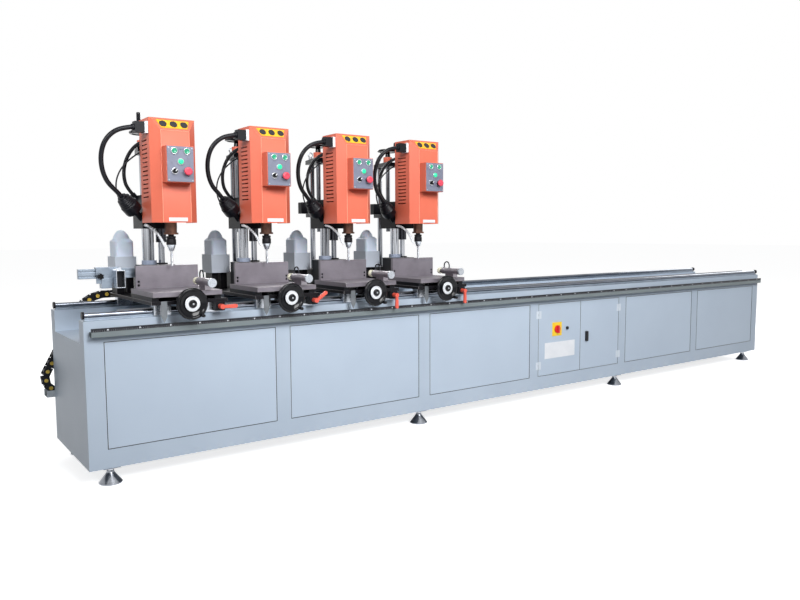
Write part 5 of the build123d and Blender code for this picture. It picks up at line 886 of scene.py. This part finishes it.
# Buttons on the control panel: green caps, the red mushroom with its pale ring, and the lit pilot lens; in mm
lensShape = [(0, 0), (14, 0), (14, 6), *arc((8, 6), 6, 0, 90, 8), (0, 12)]
lensRing = [(14.2, 0), (17, 0), (17, 4), (16, 5), (14.2, 5), (14.2, 0)]
buttonNodes = {"startLeft": "start_button_left", "startRight": "start_button_right", "eStop": "e_stop"}
paleRing = {"inner": 9.4, "outer": 11.6, "deep": 2.4, "below": 0.5}
for head in heads:
    for label, kind in buttonNodes.items():
        node = f"{kind}_{head}"
        low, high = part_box(node)
        depth = (high.y - low.y) * 1000
        radius = (high.x - low.x) * 500
        if kind == "e_stop":
            crown = depth - paleRing["below"]
            foot, inner, outer = crown - paleRing["deep"], paleRing["inner"], paleRing["outer"]
            mushroom = [(0, 0), (7, 0), (7, depth - 14), (13, depth - 13), (radius - 1, depth - 12.6),
                (radius, depth - 11), *arc((radius - 7, depth - 7), 7, 0, 80, 8), (8, depth - 0.6),
                (7, depth - 1.4), (0, depth - 1.4)]
            ring = [(inner, foot), (inner, crown), (outer, crown - 0.2), (outer, foot), (inner, foot)]
            runs = [("mushroomRed", mushroom), ("paleRed", ring)]
        else:
            cap = [(0, 0), (7, 0), (7, depth - 6), (radius, depth - 6), (radius, depth - 1.6),
                (radius - 1.2, depth - 0.4), (radius - 2.6, depth), (radius - 4, depth - 0.9), (0, depth - 1.3)]
            runs = [("buttonGreen", cap)]
        turned(f"{label}{head}", node, runs, middleOf((low, high), y=high.y), "front", steps=32)
    node = f"head_cover_{head}"
    box = boxOf(solidsOf(node)[solidAt["pilotLamp"]])
    turned(f"pilotLamp{head}", node, [("litGreen", lensShape), ("zincSteel", lensRing)],
        middleOf(box, y=box[1].y), "front", steps=32)
print("buttons turned")

# Cable chain: links along the run from the tray, round two bends, to the first carriage
chainRun = {"bend": 0.080, "topBend": 0.185, "rise": 62.0, "pitch": 0.050, "height": 0.040,
    "width": 0.048, "inset": 0.0035, "bendSteps": 24, "crestSteps": 16, "plateThick": 0.004,
    "plateLong": 0.96, "barLong": 0.016, "barThick": 0.003, "capRadius": 0.0105, "capThick": 0.0015}
chainLow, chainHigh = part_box("energy_chain")
rise = math.radians(chainRun["rise"])
bend, crest = chainRun["bend"], chainRun["topBend"]
half = chainRun["height"] / 2
turnAt = Vector((chainLow.x + bend + half, 0, chainLow.z + bend + half))
bend -= chainRun["inset"]  # the links' corners stand outside the bend they follow
crest -= chainRun["inset"]
crestZ = chainHigh.z - half - crest - chainRun["inset"]
crestX = turnAt.x + ((crestZ - turnAt.z) * math.cos(rise) + crest - bend) / math.sin(rise)
endX = boxOf(solidsOf("carriage_1")[solidAt["chainBoom"]])[0].x
chainY = (chainLow.y + chainHigh.y) / 2
run = [Vector((chainHigh.x, chainY, turnAt.z - bend))]
for n in range(chainRun["bendSteps"] + 1):
    angle = math.radians(-90 - (180 - chainRun["rise"]) * n / chainRun["bendSteps"])
    run.append(Vector((turnAt.x + bend * math.cos(angle), chainY, turnAt.z + bend * math.sin(angle))))
for n in range(chainRun["crestSteps"] + 1):
    angle = math.radians(90 + chainRun["rise"] * (1 - n / chainRun["crestSteps"]))
    run.append(Vector((crestX + crest * math.cos(angle), chainY, crestZ + crest * math.sin(angle))))
run.append(Vector((endX, chainY, crestZ + crest)))

# a link is two side plates, two cross bars and two pin caps
tree, given = newTree("chainLinks", ("pitch", "height", "width"), skins=("nylon", "cap"))
route = addNode(tree, "GeometryNodeMeshToCurve", {0: given["Geometry"]})
stations = addNode(tree, "GeometryNodeCurveToPoints", {0: route, "Length": given["pitch"]}, mode="LENGTH")
along = addNode(tree, "FunctionNodeAlignRotationToVector", {"Vector": stations.outputs["Tangent"]},
    axis="X", pivot_axis="Y")
plateLong = addNode(tree, "ShaderNodeMath", {0: given["pitch"], 1: chainRun["plateLong"]}, operation="MULTIPLY")
plateSize = addNode(tree, "ShaderNodeCombineXYZ",
    {"X": plateLong, "Y": chainRun["plateThick"], "Z": given["height"]})
sidePlate = addNode(tree, "GeometryNodeMeshCube", {"Size": plateSize})
barSize = addNode(tree, "ShaderNodeCombineXYZ",
    {"X": chainRun["barLong"], "Y": given["width"], "Z": chainRun["barThick"]})
crossBar = addNode(tree, "GeometryNodeMeshCube", {"Size": barSize})
pinCap = addNode(tree, "GeometryNodeMeshCylinder",
    {"Vertices": 20, "Radius": chainRun["capRadius"], "Depth": chainRun["capThick"]})
black = addNode(tree, "GeometryNodeJoinGeometry")
capped = addNode(tree, "GeometryNodeJoinGeometry")
link = addNode(tree, "GeometryNodeJoinGeometry")
for part, key, share, axis, turn, group in (
    (sidePlate, "width", 0.46, "Y", 0.0, black),
    (crossBar, "height", 0.45, "Z", 0.0, black),
    (pinCap, "width", 0.5, "Y", math.pi / 2, capped),
):
    for sign in (-1, 1):
        moved = addNode(tree, "ShaderNodeMath", {0: given[key], 1: sign * share}, operation="MULTIPLY")
        offset = addNode(tree, "ShaderNodeCombineXYZ", {axis: moved})
        partAt = addNode(tree, "GeometryNodeTransform",
            {0: part, "Translation": offset, "Rotation": (turn, 0, 0)})
        tree.links.new(partAt.outputs[0], group.inputs[0])
for group, skin in ((black, "nylon"), (capped, "cap")):
    painted = addNode(tree, "GeometryNodeSetMaterial", {0: group, "Material": given[skin]})
    tree.links.new(painted.outputs[0], link.inputs[0])
laid = addNode(tree, "GeometryNodeInstanceOnPoints", {0: stations, "Instance": link, "Rotation": along})
solid = addNode(tree, "GeometryNodeRealizeInstances", {0: laid})
addNode(tree, "NodeGroupOutput", {0: solid})
mesh = bakeTree("cableChain", "chainLinks", pointMesh("chainRoute", run, inLine(run)),
    {**chainRun, "nylon": materials["chainNylon"], "cap": materials["chainCap"]})
chain = addObject("cableChain", mesh)
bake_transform(chain)
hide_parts("energy_chain")
print("chain laid")

# Floor and light: white surroundings with a soft shadow under the bed, and less light thrown back up
stageLook = {"floor": "#F4F5F6", "bounce": "#8C8D8F", "ambient": 0.24, "lift": 0.76, "key": 495.0, "side": 18.0,
    "rear": 170.0, "right": 70.0, "reach": 60}
far = stageLook["reach"]
floorMesh = bpy.data.meshes.new("floor")
floorMesh.from_pydata([(-far, -far, 0), (far, -far, 0), (far, far, 0), (-far, far, 0)], [], [(0, 1, 2, 3)])
floor = addObject("floor", floorMesh)
floorPaint = bpy.data.materials.new("studioFloor")
floorPaint.use_nodes = True
tree = floorPaint.node_tree
tree.nodes.clear()
matte = addNode(tree, "ShaderNodeBsdfDiffuse", {"Color": linear(stageLook["floor"])})
dim = addNode(tree, "ShaderNodeBsdfDiffuse", {"Color": linear(stageLook["bounce"])})
bright = addNode(tree, "ShaderNodeEmission", {"Color": (1, 1, 1, 1), "Strength": stageLook["lift"]})
lifted = addNode(tree, "ShaderNodeAddShader", {0: matte, 1: bright})
rays = addNode(tree, "ShaderNodeLightPath").outputs
seen = addNode(tree, "ShaderNodeMath", {0: rays["Is Camera Ray"], 1: rays["Is Glossy Ray"]}, operation="MAXIMUM")
mixed = addNode(tree, "ShaderNodeMixShader", {0: seen, 1: dim, 2: lifted})
addNode(tree, "ShaderNodeOutputMaterial", {"Surface": mixed})
floorMesh.materials.append(floorPaint)
floor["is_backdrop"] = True

world = bpy.data.worlds.new("whiteStudio")
scene.world = world
world.use_nodes = True
tree = world.node_tree
tree.nodes.clear()
rays = addNode(tree, "ShaderNodeLightPath").outputs
seen = addNode(tree, "ShaderNodeMath", {0: rays["Is Camera Ray"], 1: rays["Is Glossy Ray"]}, operation="MAXIMUM")
shown = addNode(tree, "ShaderNodeMath", {0: seen, 1: rays["Is Transmission Ray"]}, operation="MAXIMUM")
level = addNode(tree, "ShaderNodeMapRange", {"Value": shown, "To Min": stageLook["ambient"], "To Max": 1.0})
sky = addNode(tree, "ShaderNodeBackground", {"Color": (1, 1, 1, 1), "Strength": level})
addNode(tree, "ShaderNodeOutputWorld", {"Surface": sky})
# lamps: place, what it points at, width in m, spread in degrees
lamps = {
    "key": ((-1.4, -6.2, 4.6), (-0.9, -0.33, 0.6), 3.0, 180),
    "side": ((-5.0, -2.6, 3.6), (-1.85, -0.1, 2.05), 1.6, 52),
    "rear": ((0.5, 6.5, 4.0), (-0.4, 0.4, 0.7), 3.0, 180),
    "right": ((6.5, 0.6, 3.0), (2.5, 0.1, 0.6), 2.0, 180),
}
for name, (place, aim, size, spread) in lamps.items():
    lamp = addObject(f"{name}Light", bpy.data.lights.new(f"{name}Light", "AREA"))
    lamp.data.size = size
    lamp.data.spread = math.radians(spread)
    lamp.data.energy = stageLook[name]
    lamp.location = place
    lamp.rotation_euler = (Vector(aim) - Vector(place)).to_track_quat("-Z", "Y").to_euler()
print("stage lit")

sizes = {"cad": [list(corner) for corner in cadBox], "visual": [list(corner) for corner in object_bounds()]}
